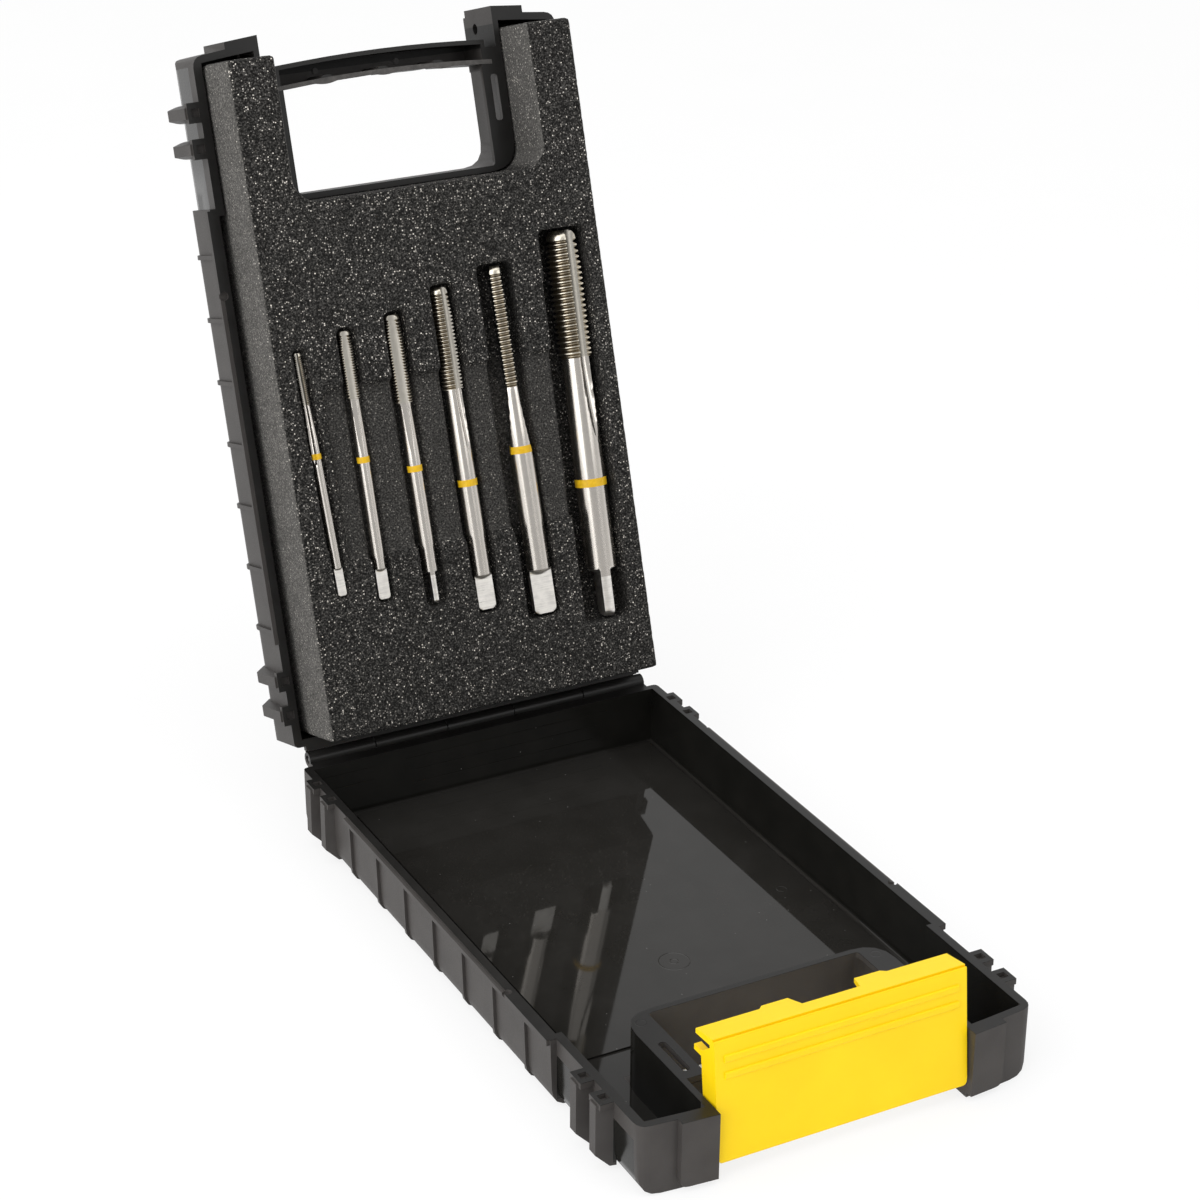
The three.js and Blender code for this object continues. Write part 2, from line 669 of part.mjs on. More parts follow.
// Latch, with heights counted from the base's rim
function latch() {
  const rise = (height) => SHELL_DEPTH + height;
  const half = RECESS_HALF - LATCH_SIDE_GAP;
  const topY = LATCH_TOP_SETBACK - BOW_REACH;
  const footY = LATCH_FOOT_SETBACK - BOW_REACH;
  const bottom = rise(-LATCH_FOOT_DROP);
  const outlineFront = alongY([
    [-half, rise(LATCH_TOP_RISE)],
    [-half, bottom, LATCH_FOOT_ROUND],
    [half, bottom, LATCH_FOOT_ROUND],
    [half, rise(LATCH_TOP_RISE)],
  ], footY, topY + LATCH_PLATE);
  const plate = alongX([
    [topY, rise(LATCH_TOP_RISE), LATCH_EDGE_ROUND],
    [footY, bottom, LATCH_EDGE_ROUND],
    [footY + LATCH_PLATE, bottom],
    [topY + LATCH_PLATE, rise(LATCH_TOP_RISE - FLANGE_ROOT_THICK)],
  ], -half, half).intersect(outlineFront);
  const flangeSide = alongX([
    [topY + LATCH_EDGE_ROUND, rise(LATCH_TOP_RISE)],
    [topY + LATCH_EDGE_ROUND, rise(LATCH_TOP_RISE - FLANGE_ROOT_THICK)],
    [topY + FLANGE_REACH, rise(FLANGE_TIP_RISE - FLANGE_TIP_THICK)],
    [topY + FLANGE_REACH, rise(FLANGE_TIP_RISE)],
  ], -half, half);
  const tabEdge = (side) => [
    [side * half, topY + FLANGE_END_REACH],
    [side * (FLANGE_TAB_OUTER + FLANGE_TAB_SLOPE), topY + FLANGE_END_REACH],
    [side * FLANGE_TAB_OUTER, topY + FLANGE_REACH],
    [side * FLANGE_TAB_INNER, topY + FLANGE_REACH],
    [side * (FLANGE_TAB_INNER - FLANGE_TAB_SLOPE), topY + FLANGE_NOTCH_REACH],
  ];
  const flangePlan = alongZ([
    [-half, footY],
    ...tabEdge(-1),
    ...tabEdge(1).reverse(),
    [half, footY],
  ], 0, rise(LATCH_TOP_RISE));
  const cheekSide = [
    [topY + LATCH_EDGE_ROUND, rise(LATCH_TOP_RISE - FLANGE_ROOT_THICK)],
    [topY + CHEEK_TOP_REACH, rise(CHEEK_LIP_TOP_RISE)],
    [topY + CHEEK_LIP_REACH, rise(CHEEK_LIP_TOP_RISE)],
    [topY + CHEEK_LIP_REACH, rise(CHEEK_LIP_UNDER_RISE)],
    [topY + CHEEK_TOP_REACH, rise(CHEEK_LIP_UNDER_RISE)],
    [topY + CHEEK_LOW_REACH, rise(-CHEEK_LOW_DROP)],
    [footY + LATCH_PLATE, rise(-CHEEK_FOOT_DROP)],
    [footY + LATCH_PLATE / 2, rise(-CHEEK_FOOT_DROP)],
  ];
  const pivotZ = rise(-PIVOT_DROP);
  const sideParts = MIRRORED_SIDES.flatMap((side) => {
    const [from, to] = [side * half, side * (half - CHEEK_THICK)].sort((a, b) => a - b);
    const inner = side * (half - PIVOT_LUG_THICK);
    const [lugFrom, lugTo] = [side * (half - REST_GAP), inner].sort((a, b) => a - b);
    const tip = side * (RECESS_HALF + PIVOT_ENGAGE);
    const [stubFrom, stubTo] = [tip, side * (half - CHEEK_THICK / 2)].sort((a, b) => a - b);
    return [
      alongX(cheekSide, from, to),
      rodAlongX(PIVOT_LUG_RADIUS, lugFrom, lugTo, -PIVOT_Y, pivotZ),
      rodAlongX(PIVOT_RADIUS, stubFrom, stubTo, -PIVOT_Y, pivotZ),
    ];
  });
  const lean = (topY - footY) / (LATCH_TOP_RISE + LATCH_FOOT_DROP);
  const grips = GRIP_BAR_RISES.map((height) => {
    const face = topY - (LATCH_TOP_RISE - height) * lean;
    return alongX([
      [face + LATCH_PLATE / 2, rise(height + GRIP_BAR_HEIGHT / 2)],
      [face - GRIP_BAR_PROUD, rise(height + GRIP_BAR_HEIGHT / 2), GRIP_BAR_PROUD],
      [face - GRIP_BAR_PROUD, rise(height - GRIP_BAR_HEIGHT / 2), GRIP_BAR_PROUD],
      [face + LATCH_PLATE / 2, rise(height - GRIP_BAR_HEIGHT / 2)],
    ], GRIP_BAR_SETIN - half, half - GRIP_BAR_SETIN);
  });
  return join([plate, flangeSide.intersect(flangePlan), ...sideParts, ...grips]);
}

// Taps, modelled along +Y from the tip, with the axis at height zero
function tapRadii(tap) {
  return { thread: tap.thread / 2, shank: tap.shank / 2, largest: Math.max(tap.thread, tap.shank) / 2 };
}

function tapSolid(tap, stations, roll) {
  const { thread, shank } = tapRadii(tap);
  const neck = Math.min(thread, shank) * NECK_WIDTH_SHARE;
  const threadEnd = tap.length * stations.threadEnd;
  const taper = threadEnd * TIP_TAPER_SHARE;
  const neckEnd = tap.length * stations.neckEnd;
  const shankEnd = tap.length * stations.shankEnd;
  const chamfer = tap.shank * TANG_CHAMFER_SHARE;
  const profile = [
    [0, 0],
    [thread * TIP_WIDTH_SHARE, 0],
    [thread, taper],
    [thread, threadEnd],
    [neck, threadEnd + (thread - neck)],
    [shank, neckEnd],
    [shank, tap.length - chamfer],
    [shank - chamfer, tap.length],
    [0, tap.length],
  ].map(([radius, along]) => new THREE.Vector2(radius, along));
  const body = toSolid(new THREE.LatheGeometry(profile, TAP_SIDES));
  const thickness = tap.shank * TANG_THICKNESS_SHARE;
  const tang = new THREE.BoxGeometry(2 * tap.shank, tap.length + OVERRUN, thickness);
  tang.translate(0, (tap.length + OVERRUN) / 2, 0);
  tang.rotateY(radians(roll.tang));
  const kept = [
    block([-OVERRUN, OVERRUN], [-OVERRUN, shankEnd], [-OVERRUN, OVERRUN]),
    toSolid(tang),
  ];
  return body.intersect(join(kept)).subtract(flutes(tap, threadEnd, radians(roll.flute)));
}

// Straight flutes that run out into the neck
function flutes(tap, threadEnd, firstTurn) {
  const { thread } = tapRadii(tap);
  const radius = thread * FLUTE_RADIUS_SHARE;
  const runout = tap.length * FLUTE_RUNOUT_SHARE;
  const profile = [[0, -OVERRUN], [radius, -OVERRUN], [radius, threadEnd], [0, threadEnd + runout]];
  return join(Array.from({ length: FLUTE_COUNT }, (unused, index) => {
    const points = profile.map(([across, along]) => new THREE.Vector2(across, along));
    const geometry = new THREE.LatheGeometry(points, FLUTE_SIDES);
    geometry.translate(0, 0, thread * (FLUTE_CENTRE_SHARE + FLUTE_RADIUS_SHARE));
    geometry.rotateY(firstTurn + index / FLUTE_COUNT * 2 * Math.PI);
    return toSolid(geometry);
  }));
}

function tapTilt(tap) {
  return -Math.asin((tap.endX - tap.tipX) / tap.length);
}

// Height of a tap's axis in the lid, below the rim plane, just under the foam's face
function tapAxisZ(tap) {
  return -FOAM_PROUD + TAP_BELOW_FOAM + tapRadii(tap).largest;
}

// A tap's pocket, or the same grown by a skin on all sides
function tapPocket(tap, index, skin) {
  const { largest } = tapRadii(tap);
  const [roomLeft, roomRight] = POCKET_ROOM_SHARES[index].map((share) => share * POCKET_ROOM + skin);
  const endRoom = POCKET_END_ROOM + skin;
  const bottom = largest + REST_GAP + skin;
  const pocket = block(
    [-largest - roomLeft, largest + roomRight],
    [-endRoom, tap.length + endRoom],
    [-OVERRUN, bottom],
  );
  return pocket.rotate([0, 0, THREE.MathUtils.radToDeg(tapTilt(tap))])
    .translate([tap.tipX, tap.tipY, tapAxisZ(tap)]);
}

// A grid of cells between two corners in plan, parted by webs, from one height up
function coreGrid(xs, ys, columns, rows, fromZ) {
  const width = (xs[1] - xs[0] + CORE_WEB) / columns - CORE_WEB;
  const length = (ys[1] - ys[0] + CORE_WEB) / rows - CORE_WEB;
  return Array.from({ length: columns * rows }, (unused, index) => {
    const x = xs[0] + (index % columns) * (width + CORE_WEB);
    const y = ys[0] + Math.floor(index / columns) * (length + CORE_WEB);
    return block([x, x + width], [y, y + length], [fromZ, OVERRUN]);
  });
}

// Foam is cored from its hidden back, leaving a skin at the front and round each pocket
function foamCores() {
  const front = -FOAM_PROUD + TROUGH_DEPTH + CORE_SKIN;
  const side = FOAM_HALF - CORE_EDGE;
  const inner = FOAM_CUT_HALF + CORE_EDGE;
  const middleYs = [-FOAM_CUT_BACK + CORE_EDGE, FOAM_BACK - CORE_EDGE];
  const legYs = [-FOAM_FRONT + CORE_EDGE, -FOAM_CUT_BACK - CORE_WEB];
  const cells = join([
    ...coreGrid([-side, side], middleYs, CORE_COLUMNS, CORE_ROWS, front),
    ...coreGrid([-side, -inner], legYs, 1, 1, front),
    ...coreGrid([inner, side], legYs, 1, 1, front),
  ]);
  return cells.subtract(join(TAPS.map((tap, index) => tapPocket(tap, index, CORE_SKIN))));
}

function foamInsert() {
  const back = SHELL_DEPTH - LID_FLOOR - REST_GAP;
  const section = alongY([
    [-FOAM_HALF, -FOAM_PROUD],
    [FOAM_HALF, -FOAM_PROUD],
    [FOAM_HALF, back - FOAM_EDGE_CHAMFER],
    [FOAM_HALF - FOAM_EDGE_CHAMFER, back],
    [-FOAM_HALF + FOAM_EDGE_CHAMFER, back],
    [-FOAM_HALF, back - FOAM_EDGE_CHAMFER],
  ], -FOAM_FRONT, FOAM_BACK);
  const front = -FOAM_FRONT - OVERRUN;
  const cutOut = alongZ([
    [-FOAM_CUT_HALF, front],
    [FOAM_CUT_HALF, front],
    [FOAM_CUT_HALF, -FOAM_CUT_BACK, FOAM_CUT_ROUND],
    [-FOAM_CUT_HALF, -FOAM_CUT_BACK, FOAM_CUT_ROUND],
  ], -FOAM_PROUD - OVERRUN, back + OVERRUN);
  const trough = block(
    [-TROUGH_SHARES.left * FOAM_HALF, TROUGH_SHARES.right * FOAM_HALF],
    [-TROUGH_SHARES.front * FOAM_BACK, TROUGH_SHARES.back * FOAM_BACK],
    [-FOAM_PROUD - OVERRUN, -FOAM_PROUD + TROUGH_DEPTH],
  );
  const pockets = TAPS.map((tap, index) => tapPocket(tap, index, 0));
  return section.subtract(join([cutOut, trough, ...pockets, foamCores()]));
}

function named(name, geometry, look) {
  const mesh = new THREE.Mesh(geometry, new THREE.MeshStandardMaterial(look));
  mesh.name = name;
  return mesh;
}

// Scene graph: the base, the latch in it, and the lid turned open about the hinge
const part = new THREE.Group();
part.add(named('lower_shell', toGeometry(lowerShell()), BLACK_PLASTIC));
part.add(named('hinge_pin', toGeometry(hingePin()), STEEL));
part.add(named('latch', toGeometry(latch()), YELLOW_PLASTIC));

const openLid = new THREE.Group();
openLid.position.set(0, HINGE_Y, HINGE_Z);
openLid.rotation.x = -radians(LID_OPEN_DEGREES);
part.add(openLid);

const lid = new THREE.Group();
lid.position.set(0, -HINGE_Y, REST_GAP / 2);
openLid.add(lid);
lid.add(named('upper_shell', upperShell(), BLACK_PLASTIC));
lid.add(named('foam_insert', toGeometry(foamInsert()), GREY_FOAM));
TAPS.forEach((tap, index) => {
  const solid = tapSolid(tap, TAP_STATION_SHARES[index], TAP_ROLL_DEGREES[index]);
  const mesh = named(`tap_${index + 1}`, toGeometry(solid), STEEL);
  mesh.position.set(tap.tipX, tap.tipY, tapAxisZ(tap));
  mesh.rotation.z = tapTilt(tap);
  lid.add(mesh);
});

export default part;
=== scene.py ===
"""Looks of the hinged tap case: materials, threaded taps, foam, lights and camera.

Lengths are written in millimetres and turned into metres by MM.
"""
import json
import math

import bmesh
import bpy
from mathutils import Matrix, Vector, noise

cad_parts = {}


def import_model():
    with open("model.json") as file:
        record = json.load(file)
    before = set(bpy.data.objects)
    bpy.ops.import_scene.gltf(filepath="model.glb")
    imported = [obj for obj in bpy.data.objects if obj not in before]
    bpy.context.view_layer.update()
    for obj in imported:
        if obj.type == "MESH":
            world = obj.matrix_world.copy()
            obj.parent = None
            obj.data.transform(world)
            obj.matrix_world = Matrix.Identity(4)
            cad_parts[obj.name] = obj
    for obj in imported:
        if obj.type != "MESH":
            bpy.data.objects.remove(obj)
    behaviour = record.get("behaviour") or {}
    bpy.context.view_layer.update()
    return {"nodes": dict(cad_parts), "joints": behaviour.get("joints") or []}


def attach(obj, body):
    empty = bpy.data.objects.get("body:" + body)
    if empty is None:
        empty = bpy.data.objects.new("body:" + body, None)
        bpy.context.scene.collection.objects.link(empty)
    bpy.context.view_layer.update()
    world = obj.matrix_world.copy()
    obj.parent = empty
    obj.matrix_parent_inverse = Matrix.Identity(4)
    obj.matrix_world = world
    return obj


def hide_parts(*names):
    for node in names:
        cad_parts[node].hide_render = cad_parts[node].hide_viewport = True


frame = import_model()

MM = 0.001
WHOLE_TURN = 2 * math.pi

# Camera, from the photograph's viewpoint
IMAGE_PIXELS = 1200
SENSOR_MM = 36
FOCAL_PIXELS = 2964
CAMERA_SPOT_MM = (-318.7, -566.9, 408.4)
CAMERA_AZIMUTH = math.radians(-28.28)
CAMERA_ELEVATION = math.radians(25.57)
CAMERA_ROLL = math.radians(0.48)
CAMERA_REACH_M = 20

# Lid frame, from the hinge joint: rim at height zero, foam proud towards minus Z
REST_GAP = 0.3 * MM
LID_HINGE = next(joint for joint in frame["joints"] if joint["name"] == "lid_hinge")
HINGE_SPOT = Vector(LID_HINGE["pos_m"])
LID_OPEN = math.radians(-LID_HINGE["range_deg"][0])
LID_TO_ROW = (
    Matrix.Translation(HINGE_SPOT)
    @ Matrix.Rotation(-LID_OPEN, 4, "X")
    @ Matrix.Translation((0, -HINGE_SPOT.y, REST_GAP / 2))
)

# Shells
SHELL_DEPTH = 19
SHELL_BACK = 93.1
REAR_HALF = 54.9
WALL = 2
BASE_FLOOR = 2.2
PANEL_TOP = 2.7
LID_FLOOR = 1.3
RECESS_HALF = 35.2
RECESS_BACK = 53.7
TOWERS_FRONT = 86.5
TOWERS_HALF = 46
ZONE_MARGIN = 0.25
FAR = 2 * SHELL_BACK

# Softened edges of the CAD pieces
EDGE_WIDTH = 0.22
LATCH_EDGE_WIDTH = 0.35
EDGE_SEGMENTS = 2
EDGE_ANGLE = math.radians(34)
WELD_DISTANCE = 0.002
FLAT_ANGLE = math.radians(1)
FACE_WEIGHT = 100

# Marks in the base: round ones as centre and radius, straight ones on the back wall
# as their two ends and their height
ROUND_MARKS = [
    ((0.1, -15.4), 4),
    ((0.1, -15.4), 1.1),
    ((42.4, 2.1), 1.3),
    ((-32.7, -57.3), 1.3),
    ((32.7, -57.3), 1.3),
]
BACK_LINES = [(-52, -35, 15.4), (-52, -35, 11.5), (-25, 38, 15.4), (-22, 36, 11.5), (-22, 36, 7.5)]
MARK_WIDTH = 0.22
MARK_STRENGTH = 3
BACK_LINE_REACH = 1

# Dark strip along the lid's hinge edge and its hood behind the knuckles, a painted shade over the
# slit there, as low and high corners in the lid's frame without their X
SHADE_STRIP_HALF = 51
SHADE_STRIP_BOX = ((93.4, 0.25), (94.66, 2.4))
SHADE_HOOD_BOX = ((93.4, 2.35), (95.8, 3))

# Grip along the inner edge of the lid's bar and pin marks in the bar, in the lid's frame
GRIP_HALF = 32.5
GRIP_EDGE = -83.3
GRIP_BOW_RADIUS = 400
GRIP_WIDTH = 1.2
GRIP_SCALLOPS = (-16.5, 0.8, 17.5)
GRIP_SCALLOP_HALF = 3.2
GRIP_SCALLOP_RISE = 0.5
GRIP_LOW = -0.12
GRIP_HIGH = 0.6
GRIP_STEPS = 90
BAR_PIN_SPOTS = [(-15.1, -86.35), (8.9, -86.2)]
BAR_PIN_RADIUS = 0.85
BAR_PIN_HEIGHTS = (10.9, 11.4)
BAR_PIN_SIDES = 24

# Skirts under the base's guards beside the hand recess
SKIRT_X = (29.3, 34.4)
SKIRT_Y = (-82, -81)
SKIRT_Z = (3, 17.2)

# Foam insert
FOAM_HALF = 50.2
FOAM_BACK = 90.5
FOAM_FRONT = 91.5
FOAM_PROUD = 16.2
FOAM_PANEL_GAP = 0.3
FOAM_CUT_HALF = 36.4
FOAM_CUT_BACK = 52.7
FOAM_CUT_ROUND = 6
FOAM_CUT_STEPS = 6
FOAM_VOXEL = 0.9
FOAM_SMOOTH_SHARE = 0.5
FOAM_SMOOTH_TIMES = 2
FOAM_ROUGHNESS_HEIGHT = 0.16
FOAM_ROUGHNESS_CELL = 0.9
FOAM_FINE_SHARE = 2.1
FOAM_FINE_HEIGHT_SHARE = 0.5
FOAM_FINE_SHIFT = Vector((7, 3, 5))
TROUGH_BACK = 43.5
TROUGH_FRONT = 3
TROUGH_LEFT = 37
TROUGH_RIGHT = 34
TROUGH_DEPTH = 2.2
TROUGH_MASK_ROOM = 0.7
POCKET_END_ROOM = 0.8
POCKET_BACK_ROOM = 0.3
CUTTER_REACH = 30
# How far from the insert's outer faces, and from its cut-out, a face counts as a lit side, painted
# paler
SIDE_BAND = 2.4
CUT_BAND = 4
SIDE_TURN = (0.25, 0.8)

# Taps, tip forward, each with its size, place in the lid and pitch
TAPS = [
    dict(length=66, thread=2, shank=2.5, pitch=0.5, tip=(-42.4, -14.1), end_x=-40.1),
    dict(length=73, thread=3.8, shank=3.35, pitch=0.7, tip=(-28.3, -17.8), end_x=-28),
    dict(length=79, thread=4.8, shank=4, pitch=0.8, tip=(-14, -19.9), end_x=-13.2),
    dict(length=89, thread=5.8, shank=5.3, pitch=1, tip=(0.8, -24.9), end_x=1.8),
    dict(length=97, thread=7, shank=6.7, pitch=1.25, tip=(18.4, -28.2), end_x=19.3),
    dict(length=108, thread=9.4, shank=8.8, pitch=1.5, tip=(40.4, -34.7), end_x=38.7),
]
# Where thread, neck, ring and shank lie, as shares of each length from the tip
TAP_SHARES = [
    dict(thread_end=0.212, neck_end=0.4, ring=0.423, shank_end=0.885),
    dict(thread_end=0.252, neck_end=0.455, ring=0.477, shank_end=0.885),
    dict(thread_end=0.304, neck_end=0.51, ring=0.531, shank_end=0.89),
    dict(thread_end=0.312, neck_end=0.58, ring=0.602, shank_end=0.89),
    dict(thread_end=0.342, neck_end=0.5, ring=0.523, shank_end=0.87),
    dict(thread_end=0.326, neck_end=0.63, ring=0.65, shank_end=0.875),
]
for tap, shares in zip(TAPS, TAP_SHARES):
    tap.update({name: share * tap["length"] for name, share in shares.items()})
# How each tap's first flute and tang are rolled, half the angle a flute spans, the radius it
# leaves as a share of the thread's, the number of flutes, and the pocket's room beside the tap
TAP_SEATS = [
    dict(flute_degrees=229, flute_half=38, core=0.5, flutes=2, tang_degrees=3, room=(0.5, 0.9)),
    dict(flute_degrees=201, flute_half=44, core=0.6, flutes=2, tang_degrees=4, room=(0.5, 0.9)),
    dict(flute_degrees=201, flute_half=44, core=0.6, flutes=2, tang_degrees=102, room=(0.6, 1)),
    dict(flute_degrees=156, flute_half=27, core=0.5, flutes=2, tang_degrees=2, room=(0.6, 1)),
    dict(flute_degrees=110, flute_half=63, core=0.36, flutes=2, tang_degrees=5, room=(3, 0.7)),
    dict(flute_degrees=156, flute_half=27, core=0.48, flutes=2, tang_degrees=102, room=(4, 0.7)),
]
# Painted shade: the tap whose flutes are near black, as they lie in shade
SHADED_FLUTE_TAP = 4
TAP_BELOW_FOAM = 0.1
TAP_SIDES = 96
NEAR_ANGLE = math.radians(1.4)
WALL_ANGLE = math.radians(0.5)
SHARP_ANGLE = math.radians(32)
# Places in a pitch where the crest starts, the crest ends, the root starts and the root ends
THREAD_CORNERS = (0, 0.18, 0.5, 0.66)
THREAD_DEPTH_SHARE = 0.62
THREAD_DEEPEST_SHARE = 1.6
HELIX_START_PITCHES = 2
HELIX_END_PITCHES = 1.5
PLAIN_TIP_PITCHES = 1.6
TIP_TAPER_SHARE = 0.28
TIP_WIDTH_SHARE = 0.84
TIP_ROUND_SHARE = 0.5
TIP_FLAT_SHARE = 0.5
NECK_WIDTH_SHARE = 0.87
NECK_FALL_SHARE = 0.22
FLUTE_RUNOUT_SHARE = 0.24
FLUTE_RUNOUT_POWER = 1.6
TANG_SHARE = 0.32
TANG_ROUND_SHARE = 0.4
TANG_TAPER_SHARE = 0.3
SHOULDER_SHARE = 0.5
RING_LEAST_WIDTH = 1.3
RING_WIDTH_SHARE = 0.11
RING_PROUD = 0.07
TINY = 0.001
# Rows of vertices along a tap: the widest and least steps, and those beside a sharp change
PLAIN_ROW = 0.6
LEAST_ROW = 0.015
STEP_ROW = 0.01
RING_ROW = 0.03
NOSE_ROW_SHARES = (0.04, 0.15, 0.3, 0.5, 0.75)
FALL_ROW_SHARES = (0.3, 0.8, 1.6, 3)
SHOULDER_ROW_SHARES = (0.15, 0.35, 0.6, 1)
END_ROW_SHARES = (1, 0.75, 0.5, 0.25, 0)
# Kinds of a tap's surface, in the order of its materials
BODY, CREST, FLUTE, TANG, RING, ROOT = range(6)

# Sizes of noise and depths are in millimetres; a bump is its strength and its depth.
# Where ramps over noise start and end
RAMP_SPAN = (0.3, 0.7)
SHELL_SPAN = (0.3, 0.75)
WIDE_SPAN = (0.25, 0.75)

# Shells: colours and roughness by zone, low and high
OUTER_COLOURS = ((0.038, 0.0345, 0.0325), (0.047, 0.043, 0.0405))
INNER_COLOURS = ((0.008, 0.0078, 0.0068), (0.0115, 0.011, 0.0095))
HAZE_COLOURS = ((0.017, 0.016, 0.0142), (0.0215, 0.0202, 0.0183))
# Painted shade: darker tones for the rim and for the lid's bar and hollow corners
PAINTED_SHADE_COLOURS = ((0.009, 0.0085, 0.008), (0.013, 0.0125, 0.0118))
# Painted light: the base's outer faces are lightened over the lid's, though both are the same
# plastic
BASE_PAINTED_LIGHT = 1.2
MATTE = (0.46, 0.56)
GLOSS = (0.14, 0.2)
MIRROR = (0.03, 0.045)
SATIN = (0.32, 0.4)
SHELL_SPECULAR = 0.23
SHELL_BUMP = (0.25, 0.05)
MOTTLE_SIZE = 9
GRAIN_SIZE = 0.35
DUST_CELL = 2.6
DUST_RARITY = 0.8
DUST_RADIUS_SHARE = 0.055
DUST_COLOUR = (0.16, 0.155, 0.15, 1)

# Latch, grip and ring paint
YELLOW = ((0.9, 0.61, 0.003), (0.94, 0.65, 0.005))
YELLOW_ROUGHNESS = (0.36, 0.46)
YELLOW_SPECULAR = 0.22
YELLOW_DEPTH_MM = (1.2, 0.8, 0.2)
YELLOW_DEPTH_WEIGHT = 0.08
YELLOW_MOTTLE_SIZE = 14
YELLOW_GRAIN_SIZE = 0.4
YELLOW_BUMP = (0.12, 0.04)
# Painted highlight: the lip's pale grey stands for the light that catches it; the pin marks share it
LIP_HIGHLIGHT_GREY = ((0.05, 0.047, 0.045), (0.085, 0.08, 0.076))
GRIP_ROUGHNESS = (0.45, 0.6)
GRIP_SPECULAR = 0.25
GRIP_WEAR_SIZE = 1.4
GRIP_BUMP = (0.1, 0.05)
PAINT = ((0.62, 0.36, 0.008), (0.74, 0.46, 0.014))
PAINT_ROUGHNESS = (0.28, 0.42)
PAINT_SPECULAR = 0.35
PAINT_PATCH_SIZE = 0.8

# Metals: colour, roughness, scale of the streaks by axis, share of the colour that
# the darkest streaks keep, and strength of the scratches
STEELS = dict(
    tap_steel=((0.66, 0.62, 0.57), (0.2, 0.23), (0.4, 0.02, 0.4), 0.96, 0.004),
    # Painted highlight: the thread's crests are lighter than the shank
    tap_crest_highlight=((0.68, 0.63, 0.53), (0.24, 0.34), (1, 1, 1), 0.85, 0.05),
    tap_flute=((0.46, 0.435, 0.385), (0.34, 0.44), (1, 0.3, 1), 0.92, 0.04),
    # Painted shade: a near-black copy of the flute steel
    tap_flute_painted_shade=((0.035, 0.032, 0.027), (0.45, 0.55), (1, 0.3, 1), 0.8, 0.12),
    # The tangs' ground flats, also made brighter than the shank as painted light
    tap_tang=((0.9, 0.87, 0.82), (0.26, 0.42), (0.05, 1, 0.05), 0.8, 0.12),
    # Painted shade: the thread's roots are darker and browner than its crests
    tap_root_shade=((0.36, 0.31, 0.23), (0.26, 0.38), (1, 1, 1), 0.8, 0.05),
    pin_steel=((0.5, 0.5, 0.5), (0.3, 0.45), (0.1, 1, 1), 0.86, 0.12),
)
SCRATCH_SIZE = 0.3
SCRATCH_ROUGHNESS = 0.6
SCRATCH_DEPTH = 0.02
PATCH_SIZE = 2.2
STREAK_SPAN = (0.38, 0.58)

# Foam: greys of its strands by zone, chance of a glint by cell and how often by zone
FOAM_FRONT_GREYS = [(0.4, 0.005), (0.5, 0.018), (0.58, 0.05), (0.68, 0.11)]
# Painted light: paler greys for the side faces lit from the left
FOAM_LIT_SIDE_GREYS = [(0.36, 0.045), (0.5, 0.085), (0.66, 0.16)]
FOAM_TROUGH_GREYS = [(0.37, 0.011), (0.49, 0.034), (0.66, 0.09)]
STRAND_SIZE = 0.5
STRAND_ROUGHNESS = 0.7
CLOUD_SIZE = 7
CLOUD_SHADE = (0.85, 1.0)
GLINT_CELL = 0.5
GLINT_CHANCES = [(0.76, 0.0), (0.8, 0.12), (0.94, 0.45), (1, 1.0)]
GLINT_REACH = (0.48, 0.24)
GLINT_COLOUR = (1, 0.98, 0.95, 1)
SIDE_GLINTS = 0.6
TROUGH_GLINTS = 0.35
FOAM_WARMTH = (1, 0.96, 0.9)
FOAM_MATTE = 0.9
FOAM_SPECULAR = 0.15
FOAM_BUMP = (0.8, 0.3)

# Stage, in metres and watts; the world's stops go from the viewer's side to the far side
WHITE = (1, 1, 1, 1)
FLOOR_HALF_M = 3
FLOOR_DROP_M = 0.0003
FLOOR_GREYS = (0.93, 0.95)
FLOOR_MOTTLE_SIZE = 60
FLOOR_MATTE = 0.9
FLOOR_SPECULAR = 0.1
FLOOR_WHITENESS = 0.8
# Floor seen through the hand recess, as ranges of X and Y, that is left in its own light
HAND_HOLE = ((-36, 36), (-80, -53))
LIGHT_TARGET_M = (0, 0, 0.08)
LIGHTS = dict(
    key=dict(spot=(-1.3, -0.35, 0.9), size=(1.8, 1.6), power=20),
    fill=dict(spot=(0.7, -1.4, 0.9), size=(0.9, 0.9), power=4),
    top=dict(spot=(0, -0.3, 1.7), size=(1.5, 1.5), power=7),
)
WORLD_SEEN = [(0.08, 0.55), (0.5, 1.0)]
WORLD_LIGHT = [(0.1, 0.55), (0.6, 0.8)]


# Node helpers
def new_material(name):
    material = bpy.data.materials.new(name)
    material.use_nodes = True
    tree = material.node_tree
    shader = tree.nodes["Principled BSDF"]
    return material, tree, shader


def set_socket(tree, socket, value):
    """Links a socket to another one, or gives it a value."""
    if isinstance(value, bpy.types.NodeSocket):
        tree.links.new(value, socket)
    else:
        socket.default_value = value


def node(tree, kind, inputs=None, **settings):
    """A new shader node with its settings and its inputs set or linked."""
    made = tree.nodes.new(kind)
    for key, value in settings.items():
        setattr(made, key, value)
    for key, value in (inputs or {}).items():
        set_socket(tree, made.inputs[key], value)
    return made


def object_coordinates(tree, to_local=None):
    """Object coordinates, moved into a piece's own frame when a matrix is given."""
    spot = node(tree, "ShaderNodeTexCoord").outputs["Object"]
    if to_local is None:
        return spot
    mapping = node(tree, "ShaderNodeMapping", {"Vector": spot})
    mapping.inputs["Location"].default_value = to_local.to_translation()
    mapping.inputs["Rotation"].default_value = to_local.to_euler("XYZ")
    return mapping.outputs["Vector"]


